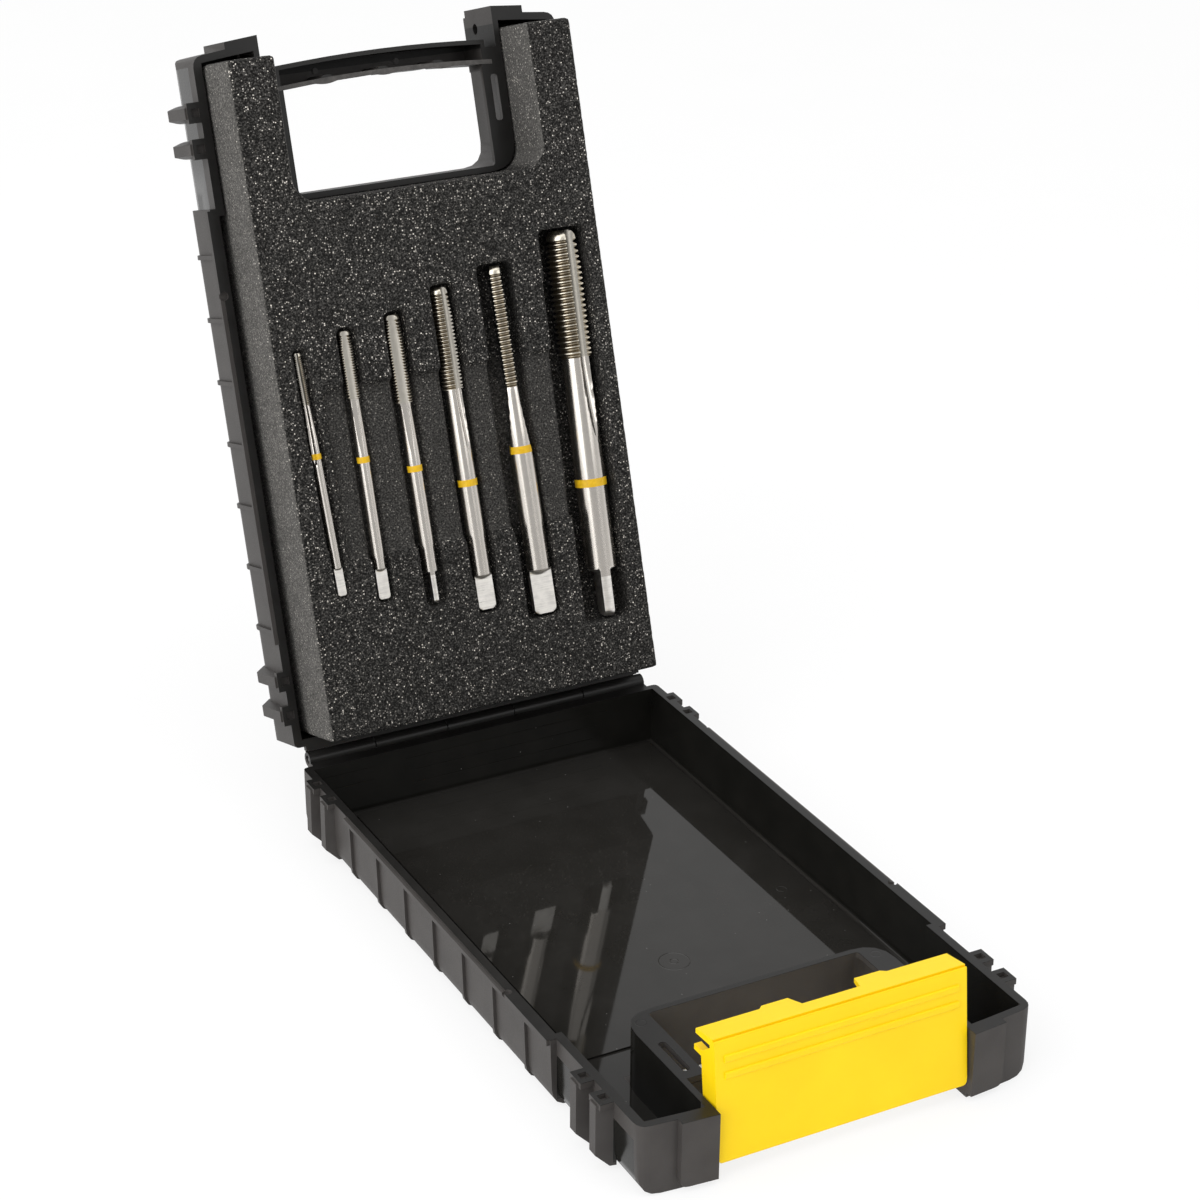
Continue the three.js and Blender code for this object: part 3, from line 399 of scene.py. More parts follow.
def separate(tree, vector):
    return node(tree, "ShaderNodeSeparateXYZ", {"Vector": vector}).outputs


def noise_value(tree, spot, size_mm, detail=2.0, roughness=0.5):
    inputs = {"Vector": spot, "Scale": 1 / (size_mm * MM), "Detail": detail, "Roughness": roughness}
    return node(tree, "ShaderNodeTexNoise", inputs).outputs["Fac"]


def ramp(tree, value, stops):
    """A colour ramp from (place, grey or colour) stops."""
    made = node(tree, "ShaderNodeValToRGB", {"Fac": value})
    elements = made.color_ramp.elements
    while len(elements) < len(stops):
        elements.new(0.5)
    for element, (place, colour) in zip(elements, stops):
        element.position = place
        grey = isinstance(colour, (int, float))
        element.color = (colour, colour, colour, 1) if grey else (*colour, 1)
    return made.outputs["Color"]


def two_tone(tree, value, pair, span=RAMP_SPAN):
    """A ramp from the first to the second of a pair of greys or colours."""
    return ramp(tree, value, list(zip(span, pair)))


def fade(tree, value, start, end, low=0.0, high=1.0):
    """A smooth passage from low to high between two values."""
    inputs = {"Value": value, "From Min": start, "From Max": end, "To Min": low, "To Max": high}
    made = node(tree, "ShaderNodeMapRange", inputs, interpolation_type="SMOOTHSTEP")
    return made.outputs["Result"]


def math_node(tree, operation, first, second=None):
    inputs = {0: first}
    if second is not None:
        inputs[1] = second
    return node(tree, "ShaderNodeMath", inputs, operation=operation).outputs["Value"]


def between(tree, value, low_mm, high_mm):
    """1 where a coordinate lies between two lengths."""
    above = math_node(tree, "GREATER_THAN", value, low_mm * MM)
    below = math_node(tree, "LESS_THAN", value, high_mm * MM)
    return math_node(tree, "MULTIPLY", above, below)


def product(tree, *values):
    total = values[0]
    for value in values[1:]:
        total = math_node(tree, "MULTIPLY", total, value)
    return total


def inverse(tree, value):
    return math_node(tree, "SUBTRACT", 1.0, value)


def times(tree, first, second):
    """Two colours multiplied channel by channel."""
    return node(tree, "ShaderNodeVectorMath", {0: first, 1: second}, operation="MULTIPLY").outputs[0]


def mix_colour(tree, factor, first, second):
    made = node(tree, "ShaderNodeMix", data_type="RGBA")
    factor_socket, first_socket, second_socket = made.inputs[0], made.inputs[6], made.inputs[7]
    set_socket(tree, factor_socket, factor)
    set_socket(tree, first_socket, first)
    set_socket(tree, second_socket, second)
    return made.outputs[2]


def bump(tree, shader, height, strength, distance_mm):
    inputs = {"Height": height, "Strength": strength, "Distance": distance_mm * MM}
    made = node(tree, "ShaderNodeBump", inputs)
    tree.links.new(made.outputs["Normal"], shader.inputs["Normal"])


def finish_shader(tree, shader, colour, roughness, specular):
    set_socket(tree, shader.inputs["Base Color"], colour)
    set_socket(tree, shader.inputs["Roughness"], roughness)
    shader.inputs["Specular IOR Level"].default_value = specular


# Shell plastic
def shell_zones(tree, spot, floor_mm):
    """Masks of the inner faces, the low floor and the rim, from the shell's own frame."""
    parts = separate(tree, spot)
    across = math_node(tree, "ABSOLUTE", parts["X"])
    along, depth = parts["Y"], parts["Z"]
    inner = SHELL_BACK - WALL + ZONE_MARGIN
    rim_start = SHELL_DEPTH - ZONE_MARGIN / 2
    walls = product(
        tree,
        between(tree, across, -ZONE_MARGIN, REAR_HALF - WALL + ZONE_MARGIN),
        between(tree, along, -inner, inner),
        between(tree, depth, floor_mm - ZONE_MARGIN, rim_start),
    )
    recess = product(
        tree,
        between(tree, across, -ZONE_MARGIN, RECESS_HALF),
        between(tree, along, -FAR, -RECESS_BACK),
    )
    inside = product(tree, walls, inverse(tree, recess))
    floor_low = product(tree, inside, between(tree, depth, 0, PANEL_TOP + ZONE_MARGIN / 2))
    rim = between(tree, depth, rim_start, FAR)
    return inside, floor_low, rim


def tower_mask(tree, spot):
    """1 on the bar and in the hollow corners at the front of the lid, where shade is painted."""
    parts = separate(tree, spot)
    across = math_node(tree, "ABSOLUTE", parts["X"])
    skin = EDGE_WIDTH * 2
    return product(
        tree,
        between(tree, across, -ZONE_MARGIN, TOWERS_HALF),
        between(tree, parts["Y"], skin - SHELL_BACK, -TOWERS_FRONT),
        between(tree, parts["Z"], skin, FAR),
    )


def line_mask(tree, distance, width_mm):
    """1 on a thin line where the distance is zero, fading over its width."""
    away = math_node(tree, "ABSOLUTE", distance)
    return fade(tree, away, 0.0, width_mm * MM, 1.0, 0.0)


def moulded_marks(tree, spot):
    """Thin grooves: rings in the floor and on the corners, and lines on the back wall."""
    parts = separate(tree, spot)
    flat = node(tree, "ShaderNodeCombineXYZ", {"X": parts["X"], "Y": parts["Y"]}).outputs["Vector"]
    marks = []
    for (x, y), radius in ROUND_MARKS:
        centre = {0: flat, 1: (x * MM, y * MM, 0)}
        distance = node(tree, "ShaderNodeVectorMath", centre, operation="DISTANCE").outputs["Value"]
        marks.append(line_mask(tree, math_node(tree, "SUBTRACT", distance, radius * MM), MARK_WIDTH))
    on_back = between(tree, parts["Y"], SHELL_BACK - WALL - BACK_LINE_REACH, SHELL_BACK)
    for x_low, x_high, height in BACK_LINES:
        level = math_node(tree, "SUBTRACT", parts["Z"], height * MM)
        span = between(tree, parts["X"], x_low, x_high)
        marks.append(product(tree, line_mask(tree, level, MARK_WIDTH), span, on_back))
    total = marks[0]
    for mark in marks[1:]:
        total = math_node(tree, "MAXIMUM", total, mark)
    return total


def dust(tree, spot):
    """Sparse pale specks."""
    specks = node(tree, "ShaderNodeTexVoronoi", {"Vector": spot, "Scale": 1 / (DUST_CELL * MM)})
    chance = node(tree, "ShaderNodeSeparateColor", {"Color": specks.outputs["Color"]})
    rare = math_node(tree, "GREATER_THAN", chance.outputs["Red"], DUST_RARITY)
    near = math_node(tree, "LESS_THAN", specks.outputs["Distance"], DUST_RADIUS_SHARE)
    return product(tree, rare, near)


def shell_colour(tree, spot, zones, mottle, is_base):
    """Colour by zone, dust on the inner faces, painted shade on the rim and the lid's bar and
    corners.
    """
    inside, floor_low, rim = zones
    # Painted light on the base's outer faces
    painted_lift = BASE_PAINTED_LIGHT if is_base else 1
    painted_lift_tones = [tuple(channel * painted_lift for channel in tone) for tone in OUTER_COLOURS]
    outer, inner, haze, edge = (
        two_tone(tree, mottle, pair)
        for pair in (painted_lift_tones, INNER_COLOURS, HAZE_COLOURS, PAINTED_SHADE_COLOURS)
    )
    colour = mix_colour(tree, inside, outer, inner)
    colour = mix_colour(tree, floor_low, colour, haze)
    # Painted shade on the rim faces
    colour = mix_colour(tree, rim, colour, edge)
    if not is_base:
        # Painted shade in the lid's bar channel and hollow corners
        colour = mix_colour(tree, tower_mask(tree, spot), colour, edge)
    return mix_colour(tree, product(tree, inside, dust(tree, spot)), colour, DUST_COLOUR)


def shell_plastic(name, floor_mm, to_local=None, is_base=False):
    """Moulded plastic, matte outside and glossy inside, with grooved marks in the base."""
    material, tree, shader = new_material(name)
    spot = object_coordinates(tree, to_local)
    zones = shell_zones(tree, spot, floor_mm)
    inside, floor_low, rim = zones
    mottle = noise_value(tree, spot, MOTTLE_SIZE, 3)
    grain = noise_value(tree, spot, GRAIN_SIZE, 2)
    colour = shell_colour(tree, spot, zones, mottle, is_base)
    gloss, mirror, satin = (
        two_tone(tree, mottle, pair, SHELL_SPAN) for pair in (GLOSS, MIRROR, SATIN)
    )
    rough = mix_colour(tree, inside, two_tone(tree, grain, MATTE), gloss)
    rough = mix_colour(tree, floor_low, rough, mirror)
    rough = mix_colour(tree, rim, rough, satin)
    finish_shader(tree, shader, colour, rough, SHELL_SPECULAR)
    height = product(tree, grain, inverse(tree, inside))
    if is_base:
        grooves = math_node(tree, "MULTIPLY", moulded_marks(tree, spot), MARK_STRENGTH)
        height = math_node(tree, "SUBTRACT", height, grooves)
    bump(tree, shader, height, *SHELL_BUMP)
    return material


# Other materials
def yellow_plastic():
    material, tree, shader = new_material("yellow_plastic")
    spot = object_coordinates(tree)
    grain = noise_value(tree, spot, YELLOW_GRAIN_SIZE, 2)
    mottle = noise_value(tree, spot, YELLOW_MOTTLE_SIZE, 3)
    colour = two_tone(tree, mottle, YELLOW, WIDE_SPAN)
    finish_shader(tree, shader, colour, two_tone(tree, grain, YELLOW_ROUGHNESS), YELLOW_SPECULAR)
    shader.inputs["Subsurface Weight"].default_value = YELLOW_DEPTH_WEIGHT
    shader.inputs["Subsurface Radius"].default_value = [depth * MM for depth in YELLOW_DEPTH_MM]
    bump(tree, shader, grain, *YELLOW_BUMP)
    return material


def steel(name):
    """Ground metal with streaks along the axes whose scale is small in the lid's frame."""
    base, roughness, stretch, dark_share, relief = STEELS[name]
    material, tree, shader = new_material(name)
    spot = object_coordinates(tree, LID_TO_ROW.inverted())
    streaks = node(tree, "ShaderNodeMapping", {"Vector": spot})
    streaks.inputs["Scale"].default_value = stretch
    scratch = noise_value(tree, streaks.outputs["Vector"], SCRATCH_SIZE, 3, SCRATCH_ROUGHNESS)
    patch = noise_value(tree, spot, PATCH_SIZE, 3)
    blend = math_node(tree, "MULTIPLY", math_node(tree, "ADD", scratch, patch), 0.5)
    dark = tuple(channel * dark_share for channel in base)
    tree.links.new(two_tone(tree, blend, (dark, base), STREAK_SPAN), shader.inputs["Base Color"])
    tree.links.new(two_tone(tree, scratch, roughness, WIDE_SPAN), shader.inputs["Roughness"])
    shader.inputs["Metallic"].default_value = 1
    bump(tree, shader, scratch, relief, SCRATCH_DEPTH)
    return material


def lip_highlight_plastic():
    """Grey plastic of the bar's grip edge, pale as a painted highlight where light catches the lip.
    """
    material, tree, shader = new_material("lip_highlight_plastic")
    wear = noise_value(tree, object_coordinates(tree), GRIP_WEAR_SIZE, 3)
    colour = two_tone(tree, wear, LIP_HIGHLIGHT_GREY)
    finish_shader(tree, shader, colour, two_tone(tree, wear, GRIP_ROUGHNESS), GRIP_SPECULAR)
    bump(tree, shader, wear, *GRIP_BUMP)
    return material


def ring_paint():
    material, tree, shader = new_material("ring_paint")
    patch = noise_value(tree, object_coordinates(tree), PAINT_PATCH_SIZE, 3)
    colour = two_tone(tree, patch, PAINT)
    finish_shader(tree, shader, colour, two_tone(tree, patch, PAINT_ROUGHNESS), PAINT_SPECULAR)
    return material


def foam_lit_side_mask(tree, spot):
    """1 on the insert's outer side faces, painted paler than its front: painted light from the left.
    """
    normal = node(tree, "ShaderNodeTexCoord").outputs["Normal"]
    turned = math_node(tree, "ABSOLUTE", separate(tree, normal)["X"])
    facing = fade(tree, turned, *SIDE_TURN)
    parts = separate(tree, spot)
    reach = math_node(tree, "ABSOLUTE", parts["X"])
    at_edge = math_node(tree, "GREATER_THAN", reach, (FOAM_HALF - SIDE_BAND) * MM)
    at_cut = math_node(tree, "LESS_THAN", parts["Y"], (CUT_BAND - FOAM_CUT_BACK) * MM)
    return product(tree, facing, math_node(tree, "MAXIMUM", at_edge, at_cut))


def trough_mask(tree, spot):
    """1 on the sunk face of the shallow trough across the taps."""
    parts = separate(tree, spot)
    return product(
        tree,
        between(tree, parts["X"], -TROUGH_LEFT, TROUGH_RIGHT),
        between(tree, parts["Y"], -TROUGH_FRONT, TROUGH_BACK),
        between(tree, parts["Z"], TROUGH_DEPTH - TROUGH_MASK_ROOM - FOAM_PROUD, 0),
    )


def foam_glints(tree, spot, side, trough):
    """Strength of the small bright glints, fewer on the sides and in the trough."""
    cells = node(tree, "ShaderNodeTexVoronoi", {"Vector": spot, "Scale": 1 / (GLINT_CELL * MM)})
    chances = node(tree, "ShaderNodeSeparateColor", {"Color": cells.outputs["Color"]})
    often = ramp(tree, chances.outputs["Red"], GLINT_CHANCES)
    near = fade(tree, cells.outputs["Distance"], *GLINT_REACH)
    on_side = ramp(tree, side, [(0, 1.0), (1, SIDE_GLINTS)])
    on_trough = ramp(tree, trough, [(0, 1.0), (1, TROUGH_GLINTS)])
    return product(tree, often, near, on_side, on_trough)


def foam_material():
    """Open-cell foam: black gaps, grey strands and small bright glints."""
    material, tree, shader = new_material("grey_foam")
    spot = object_coordinates(tree, LID_TO_ROW.inverted())
    strands = noise_value(tree, spot, STRAND_SIZE, 3, STRAND_ROUGHNESS)
    cloud = noise_value(tree, spot, CLOUD_SIZE, 2)
    side = foam_lit_side_mask(tree, spot)
    trough = trough_mask(tree, spot)
    front, pale, sunk = (
        ramp(tree, strands, greys)
        for greys in (FOAM_FRONT_GREYS, FOAM_LIT_SIDE_GREYS, FOAM_TROUGH_GREYS)
    )
    colour = mix_colour(tree, trough, front, sunk)
    # Painted light: the side faces take the paler greys
    colour = mix_colour(tree, side, colour, pale)
    colour = mix_colour(tree, foam_glints(tree, spot, side, trough), colour, GLINT_COLOUR)
    colour = times(tree, colour, two_tone(tree, cloud, CLOUD_SHADE))
    warm = times(tree, colour, FOAM_WARMTH)
    finish_shader(tree, shader, warm, FOAM_MATTE, FOAM_SPECULAR)
    bump(tree, shader, strands, *FOAM_BUMP)
    return material


# Mesh helpers
def add_object(name, mesh, materials=()):
    made = bpy.data.objects.new(name, mesh)
    bpy.context.scene.collection.objects.link(made)
    for material in materials:
        mesh.materials.append(material)
    return made


def mesh_from(name, build):
    """A mesh filled by build(bmesh)."""
    work = bmesh.new()
    build(work)
    mesh = bpy.data.meshes.new(name)
    work.to_mesh(mesh)
    work.free()
    return mesh


def mark_sharp(mesh, angle=SHARP_ANGLE):
    """Smooth faces, but for the edges where they turn by more than the angle."""
    work = bmesh.new()
    work.from_mesh(mesh)
    for face in work.faces:
        face.smooth = True
    for edge in work.edges:
        edge.smooth = edge.calc_face_angle(0) < angle
    work.to_mesh(mesh)
    work.free()


def applied_mesh(source, name):
    """The mesh of an object with its modifiers applied, as a new mesh."""
    graph = bpy.context.evaluated_depsgraph_get()
    evaluated = source.evaluated_get(graph)
    mesh = bpy.data.meshes.new_from_object(evaluated, depsgraph=graph)
    mesh.name = name
    return mesh


def box_into(work, low, high, matrix=Matrix.Identity(4)):
    """A box between two corners in millimetres, placed by a matrix in metres."""
    size = [(b - a) * MM for a, b in zip(low, high)]
    centre = [(a + b) / 2 * MM for a, b in zip(low, high)]
    scale = Matrix.Diagonal((*size, 1))
    bmesh.ops.create_cube(work, size=1, matrix=matrix @ Matrix.Translation(centre) @ scale)


def ringed_faces(work, rings):
    """Faces between rings that follow one another, each after the numbers of its two sides."""
    made = []
    for near, far in zip(rings, rings[1:]):
        for side in range(len(near)):
            after = (side + 1) % len(near)
            face = work.faces.new((near[side], near[after], far[after], far[side]))
            made.append((side, after, face))
    return made


def soften_edges(cad_object, width_mm):
    """Small rounded edges on a CAD piece, by modifiers alone."""
    weld = cad_object.modifiers.new("weld", "WELD")
    weld.merge_threshold = WELD_DISTANCE * MM
    flat = cad_object.modifiers.new("flatten", "DECIMATE")
    flat.decimate_type = "DISSOLVE"
    flat.angle_limit = FLAT_ANGLE
    edges = cad_object.modifiers.new("edges", "BEVEL")
    edges.width = width_mm * MM
    edges.segments = EDGE_SEGMENTS
    edges.limit_method = "ANGLE"
    edges.angle_limit = EDGE_ANGLE
    edges.use_clamp_overlap = True
    normals = cad_object.modifiers.new("normals", "WEIGHTED_NORMAL")
    normals.mode = "FACE_AREA"
    normals.weight = FACE_WEIGHT
    for polygon in cad_object.data.polygons:
        polygon.use_smooth = True


# Taps
def tap_radii(tap):
    return tap["thread"] / 2, tap["shank"] / 2


def tap_matrix(tap):
    """From a tap's own frame, tip at the origin and shank along +Y, to the row frame."""
    tip_x, tip_y = tap["tip"]
    tilt = -math.asin((tap["end_x"] - tip_x) / tap["length"])
    axis_z = -FOAM_PROUD + TAP_BELOW_FOAM + max(tap_radii(tap))
    place = Matrix.Translation((tip_x * MM, tip_y * MM, axis_z * MM))
    return LID_TO_ROW @ place @ Matrix.Rotation(tilt, 4, "Z")


def plain_tip(tap):
    return tap["pitch"] * PLAIN_TIP_PITCHES


def ring_half_width(tap):
    return (RING_LEAST_WIDTH + tap["shank"] * RING_WIDTH_SHARE) / 2


def thread_wave(share):
    """Depth of the thread at a share of its pitch, 0 on the crest and 1 in the root."""
    _, crest_end, root_start, root_end = THREAD_CORNERS
    if share < crest_end:
        return 0
    if share < root_start:
        return (share - crest_end) / (root_start - crest_end)
    if share < root_end:
        return 1
    return (1 - share) / (1 - root_end)


def helix_shift(tap, seat, along, angle):
    """How far a row of vertices is moved along the tap, so that it follows the thread."""
    edge = math.radians(seat["flute_half"])
    turn = (angle - math.radians(seat["flute_degrees"])) % WHOLE_TURN
    reach = tap["pitch"] * (0.5 - edge / WHOLE_TURN)
    if turn < edge:
        shift = -reach * turn / edge
    elif turn > WHOLE_TURN - edge:
        shift = reach * (WHOLE_TURN - turn) / edge
    else:
        shift = tap["pitch"] * (turn / WHOLE_TURN - 0.5)
    begun = (along - plain_tip(tap)) / (HELIX_START_PITCHES * tap["pitch"])
    left = (tap["thread_end"] - along) / (HELIX_END_PITCHES * tap["pitch"])
    return shift * min(1, max(0, min(begun, left)))


def thread_radius(tap, along):
    """Radius and kind of the thread's crests and roots behind a plain rounded tip."""
    thread = tap_radii(tap)[0]
    depth = tap["pitch"] * THREAD_DEPTH_SHARE
    taper = tap["thread_end"] * TIP_TAPER_SHARE
    crest = thread * (TIP_WIDTH_SHARE + (1 - TIP_WIDTH_SHARE) * min(1, along / taper))
    nose = thread * TIP_ROUND_SHARE
    plain = plain_tip(tap)
    if along < nose:
        bulge = math.sqrt(1 - (1 - along / nose) ** 2)
        crest *= TIP_FLAT_SHARE + (1 - TIP_FLAT_SHARE) * bulge
    if along < plain:
        return crest, CREST
    share = ((along - plain) / tap["pitch"]) % 1
    kind = CREST if share < THREAD_CORNERS[1] else ROOT
    deepest = thread - depth * THREAD_DEEPEST_SHARE
    return max(crest - depth * thread_wave(share), deepest), kind


def neck_radius(tap, along):
    """Radius behind the thread, where it falls to the neck and widens to the shank."""
    thread, shank = tap_radii(tap)
    behind = along - tap["thread_end"]
    neck = min(thread, shank) * NECK_WIDTH_SHARE
    fall = (thread - tap["pitch"] * THREAD_DEPTH_SHARE) - neck
    near = math.exp(-behind / (thread * NECK_FALL_SHARE))
    rise = behind / (tap["neck_end"] - tap["thread_end"])
    smooth = rise * rise * (3 - 2 * rise)
    return neck + fall * near + (shank - neck) * smooth


def flute_circle(seat):
    """Centre and radius of a flute's round cutter, as shares of the thread's radius."""
    core = seat["core"]
    edge = math.cos(math.radians(seat["flute_half"]))
    centre = (1 - core * core) / (2 * (edge - core))
    return centre, centre - core


def flute_limit(tap, seat, along, angle):
    """Radius left by the nearest flute's round cutter, which lifts out behind the thread."""
    thread = tap_radii(tap)[0]
    runout = tap["length"] * FLUTE_RUNOUT_SHARE
    late = max(0, along - tap["thread_end"]) / runout
    if late >= 1:
        return math.inf
    centre, cutter = (share * thread for share in flute_circle(seat))
    distance = centre + thread * (1 - seat["core"]) * late ** FLUTE_RUNOUT_POWER
    sector = WHOLE_TURN / seat["flutes"]
    turn = angle - math.radians(seat["flute_degrees"])
    away = (turn + sector / 2) % sector - sector / 2
    reach = distance * abs(math.sin(away))
    if reach >= cutter:
        return math.inf
    return distance * math.cos(away) - math.sqrt(cutter * cutter - reach * reach)


def flats_limit(tap, seat, angle):
    """Radius left by the two flats of a tang."""
    half = tap_radii(tap)[1] * TANG_SHARE
    return half / max(abs(math.cos(angle - math.radians(seat["tang_degrees"]))), TINY)


def drive_end(tap, seat, along, angle, radius):
    """Radius and kind behind the shank: a shoulder, two flats and a rounded end."""
    shank = tap_radii(tap)[1]
    end_round = shank * TANG_ROUND_SHARE
    left = (along - (tap["length"] - end_round)) / end_round
    if left > 0:
        radius *= 1 - TANG_TAPER_SHARE * left * left
    flats = flats_limit(tap, seat, angle)
    share = min(1, (along - tap["shank_end"]) / (shank * SHOULDER_SHARE))
    limit = shank + (flats - shank) * math.sin(share * math.pi / 2)
    if flats < shank and limit < radius:
        return limit, TANG
    return radius, TANG if share == 1 else BODY


def tap_surface(index, along, angle):
    """Radius of a tap at a place along it and an angle, and the kind of surface there."""
    tap, seat = TAPS[index], TAP_SEATS[index]
    radius, kind = tap_radii(tap)[1], BODY
    if along < tap["thread_end"]:
        radius, kind = thread_radius(tap, along)
    elif along < tap["neck_end"]:
        radius = neck_radius(tap, along)
    limit = flute_limit(tap, seat, along, angle)
    if limit < radius:
        radius = limit
        kind = FLUTE if along < tap["thread_end"] else BODY
    if along > tap["shank_end"]:
        radius, kind = drive_end(tap, seat, along, angle, radius)
    if abs(along - tap["ring"]) <= ring_half_width(tap) + TINY:
        return radius + RING_PROUD, RING
    return radius, kind


def turn_between(first, second):
    return abs((first - second + math.pi) % WHOLE_TURN - math.pi)


def tap_angles(seat):
    """Angles of a tap's vertices: even ones, and those of the flutes' and the tang's edges."""
    centre, cutter = flute_circle(seat)
    if centre * centre - cutter * cutter < 1:
        wall = math.asin(cutter / centre)
        edges = [wall - WALL_ANGLE, wall + WALL_ANGLE]
    else:
        edges = [math.radians(seat["flute_half"])]
    special = []
    for flute in range(seat["flutes"]):
        middle = math.radians(seat["flute_degrees"]) + flute * WHOLE_TURN / seat["flutes"]
        special += [middle + side * edge for edge in edges for side in (-1, 1)]
    tang = math.radians(seat["tang_degrees"])
    corner = math.acos(TANG_SHARE)
    special += [tang + side * corner + half for side in (-1, 1) for half in (0, math.pi)]
    special = [angle % WHOLE_TURN for angle in special]
    even = [WHOLE_TURN * side / TAP_SIDES for side in range(TAP_SIDES)]
    kept = [
        angle for angle in even
        if all(turn_between(angle, other) > NEAR_ANGLE for other in special)
    ]
    return sorted(kept + special)


def tap_rows(tap):
    """Places along the tap: close in the thread, wider in the shank, with its edges kept."""
    length, thread_end, shank_end = tap["length"], tap["thread_end"], tap["shank_end"]
    thread, shank = tap_radii(tap)
    pitch, plain, ring = tap["pitch"], plain_tip(tap), tap["ring"]
    half_ring = ring_half_width(tap)
    end_round = shank * TANG_ROUND_SHARE
    turns = range(int((thread_end - plain) / pitch) + 1)
    threaded = [plain + (turn + share) * pitch for turn in turns for share in THREAD_CORNERS]
    rows = [0, plain / 2, *(row for row in threaded if row < thread_end)]
    smooth = thread_end + PLAIN_ROW
    while smooth < length - end_round:
        rows.append(smooth)
        smooth += PLAIN_ROW
    edges = [
        thread_end - STEP_ROW, thread_end + STEP_ROW, shank_end,
        ring - half_ring - RING_ROW, ring - half_ring, ring + half_ring, ring + half_ring + RING_ROW,
        *(thread * TIP_ROUND_SHARE * part for part in NOSE_ROW_SHARES),
        *(thread_end + thread * NECK_FALL_SHARE * part for part in FALL_ROW_SHARES),
        *(shank_end + shank * SHOULDER_SHARE * part for part in SHOULDER_ROW_SHARES),
        *(length - end_round * part for part in END_ROW_SHARES),
    ]
    kept = []
    for row in sorted([*rows, *edges]):
        if not kept or row - kept[-1] > LEAST_ROW or row in edges:
            kept.append(row)
    return kept


def tap_piece(index, looks):
    """A tap with its thread, flutes, ring and tang; looks are its materials by kind."""
    tap, seat = TAPS[index], TAP_SEATS[index]
    rows = tap_rows(tap)
    angles = tap_angles(seat)

    def spot(along, angle):
        radius = tap_surface(index, along, angle)[0]
        shifted = along + helix_shift(tap, seat, along, angle)
        return radius * math.sin(angle) * MM, shifted * MM, radius * math.cos(angle) * MM

    def build(work):
        rings = [[work.verts.new(spot(along, angle)) for angle in angles] for along in rows]
        for number, (side, after, face) in enumerate(ringed_faces(work, rings)):
            row = number // len(angles)
            middle = (rows[row] + rows[row + 1]) / 2
            gap = (angles[after] - angles[side]) % WHOLE_TURN
            face.material_index = tap_surface(index, middle, angles[side] + gap / 2)[1]
        work.faces.new(list(reversed(rings[0])))
        work.faces.new(rings[-1]).material_index = TANG
        bmesh.ops.recalc_face_normals(work, faces=work.faces)
        bmesh.ops.transform(work, matrix=tap_matrix(tap), verts=work.verts)

    name = f"tap_{index + 1}_body"
    mesh = mesh_from(name, build)
    mark_sharp(mesh)
    made = add_object(name, mesh, looks)
    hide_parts(f"tap_{index + 1}")
    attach(made, f"tap_{index + 1}")


# Foam
def foam_outline(work, low_z, high_z):
    """The insert's plan with its rounded cut-out, raised between two heights."""
    arc = [math.pi / 2 * step / FOAM_CUT_STEPS for step in range(FOAM_CUT_STEPS + 1)]
    round_x = FOAM_CUT_HALF - FOAM_CUT_ROUND
    round_y = -FOAM_CUT_BACK - FOAM_CUT_ROUND
    right = [
        (round_x + FOAM_CUT_ROUND * math.cos(turn), round_y + FOAM_CUT_ROUND * math.sin(turn))
        for turn in arc
    ]
    left = [(-x, y) for x, y in right]
    plan = [
        (FOAM_HALF, FOAM_BACK), (-FOAM_HALF, FOAM_BACK), (-FOAM_HALF, -FOAM_FRONT),
        (-FOAM_CUT_HALF, -FOAM_FRONT), *left, *reversed(right),
        (FOAM_CUT_HALF, -FOAM_FRONT), (FOAM_HALF, -FOAM_FRONT),
    ]
    lower = [work.verts.new((x * MM, y * MM, low_z * MM)) for x, y in plan]
    face = work.faces.new(lower)
    grown = bmesh.ops.extrude_face_region(work, geom=[face])
    raised = [item for item in grown["geom"] if isinstance(item, bmesh.types.BMVert)]
    bmesh.ops.translate(work, verts=raised, vec=(0, 0, (high_z - low_z) * MM))
    bmesh.ops.recalc_face_normals(work, faces=work.faces)


def tap_pocket(tap, seat):
    """A pocket's cutter as low corner, high corner and matrix in the lid."""
    largest = max(tap_radii(tap))
    room_left, room_right = seat["room"]
    low = (-largest - room_left, -POCKET_END_ROOM, -CUTTER_REACH)
    high = (largest + room_right, tap["length"] + POCKET_END_ROOM, largest + POCKET_BACK_ROOM)
    return low, high, LID_TO_ROW.inverted() @ tap_matrix(tap)


def cut_box(target, name, low, high, matrix=Matrix.Identity(4)):
    """Cuts a box out of the target by a modifier, and gives the cutter back."""
    cutter = add_object(name, mesh_from(name, lambda work: box_into(work, low, high, matrix)))
    made = target.modifiers.new(name, "BOOLEAN")
    made.object = cutter
    made.operation = "DIFFERENCE"
    made.solver = "EXACT"
    return cutter


def roughen(mesh):
    """Moves each vertex a little along its normal, as cut foam cells do."""
    normals = [vertex.normal.copy() for vertex in mesh.vertices]
    for vertex, normal in zip(mesh.vertices, normals):
        spot = vertex.co / (FOAM_ROUGHNESS_CELL * MM)
        fine = noise.noise(spot * FOAM_FINE_SHARE + FOAM_FINE_SHIFT)
        height = noise.noise(spot) + FOAM_FINE_HEIGHT_SHARE * fine
        vertex.co -= normal * (abs(height) * FOAM_ROUGHNESS_HEIGHT * MM)


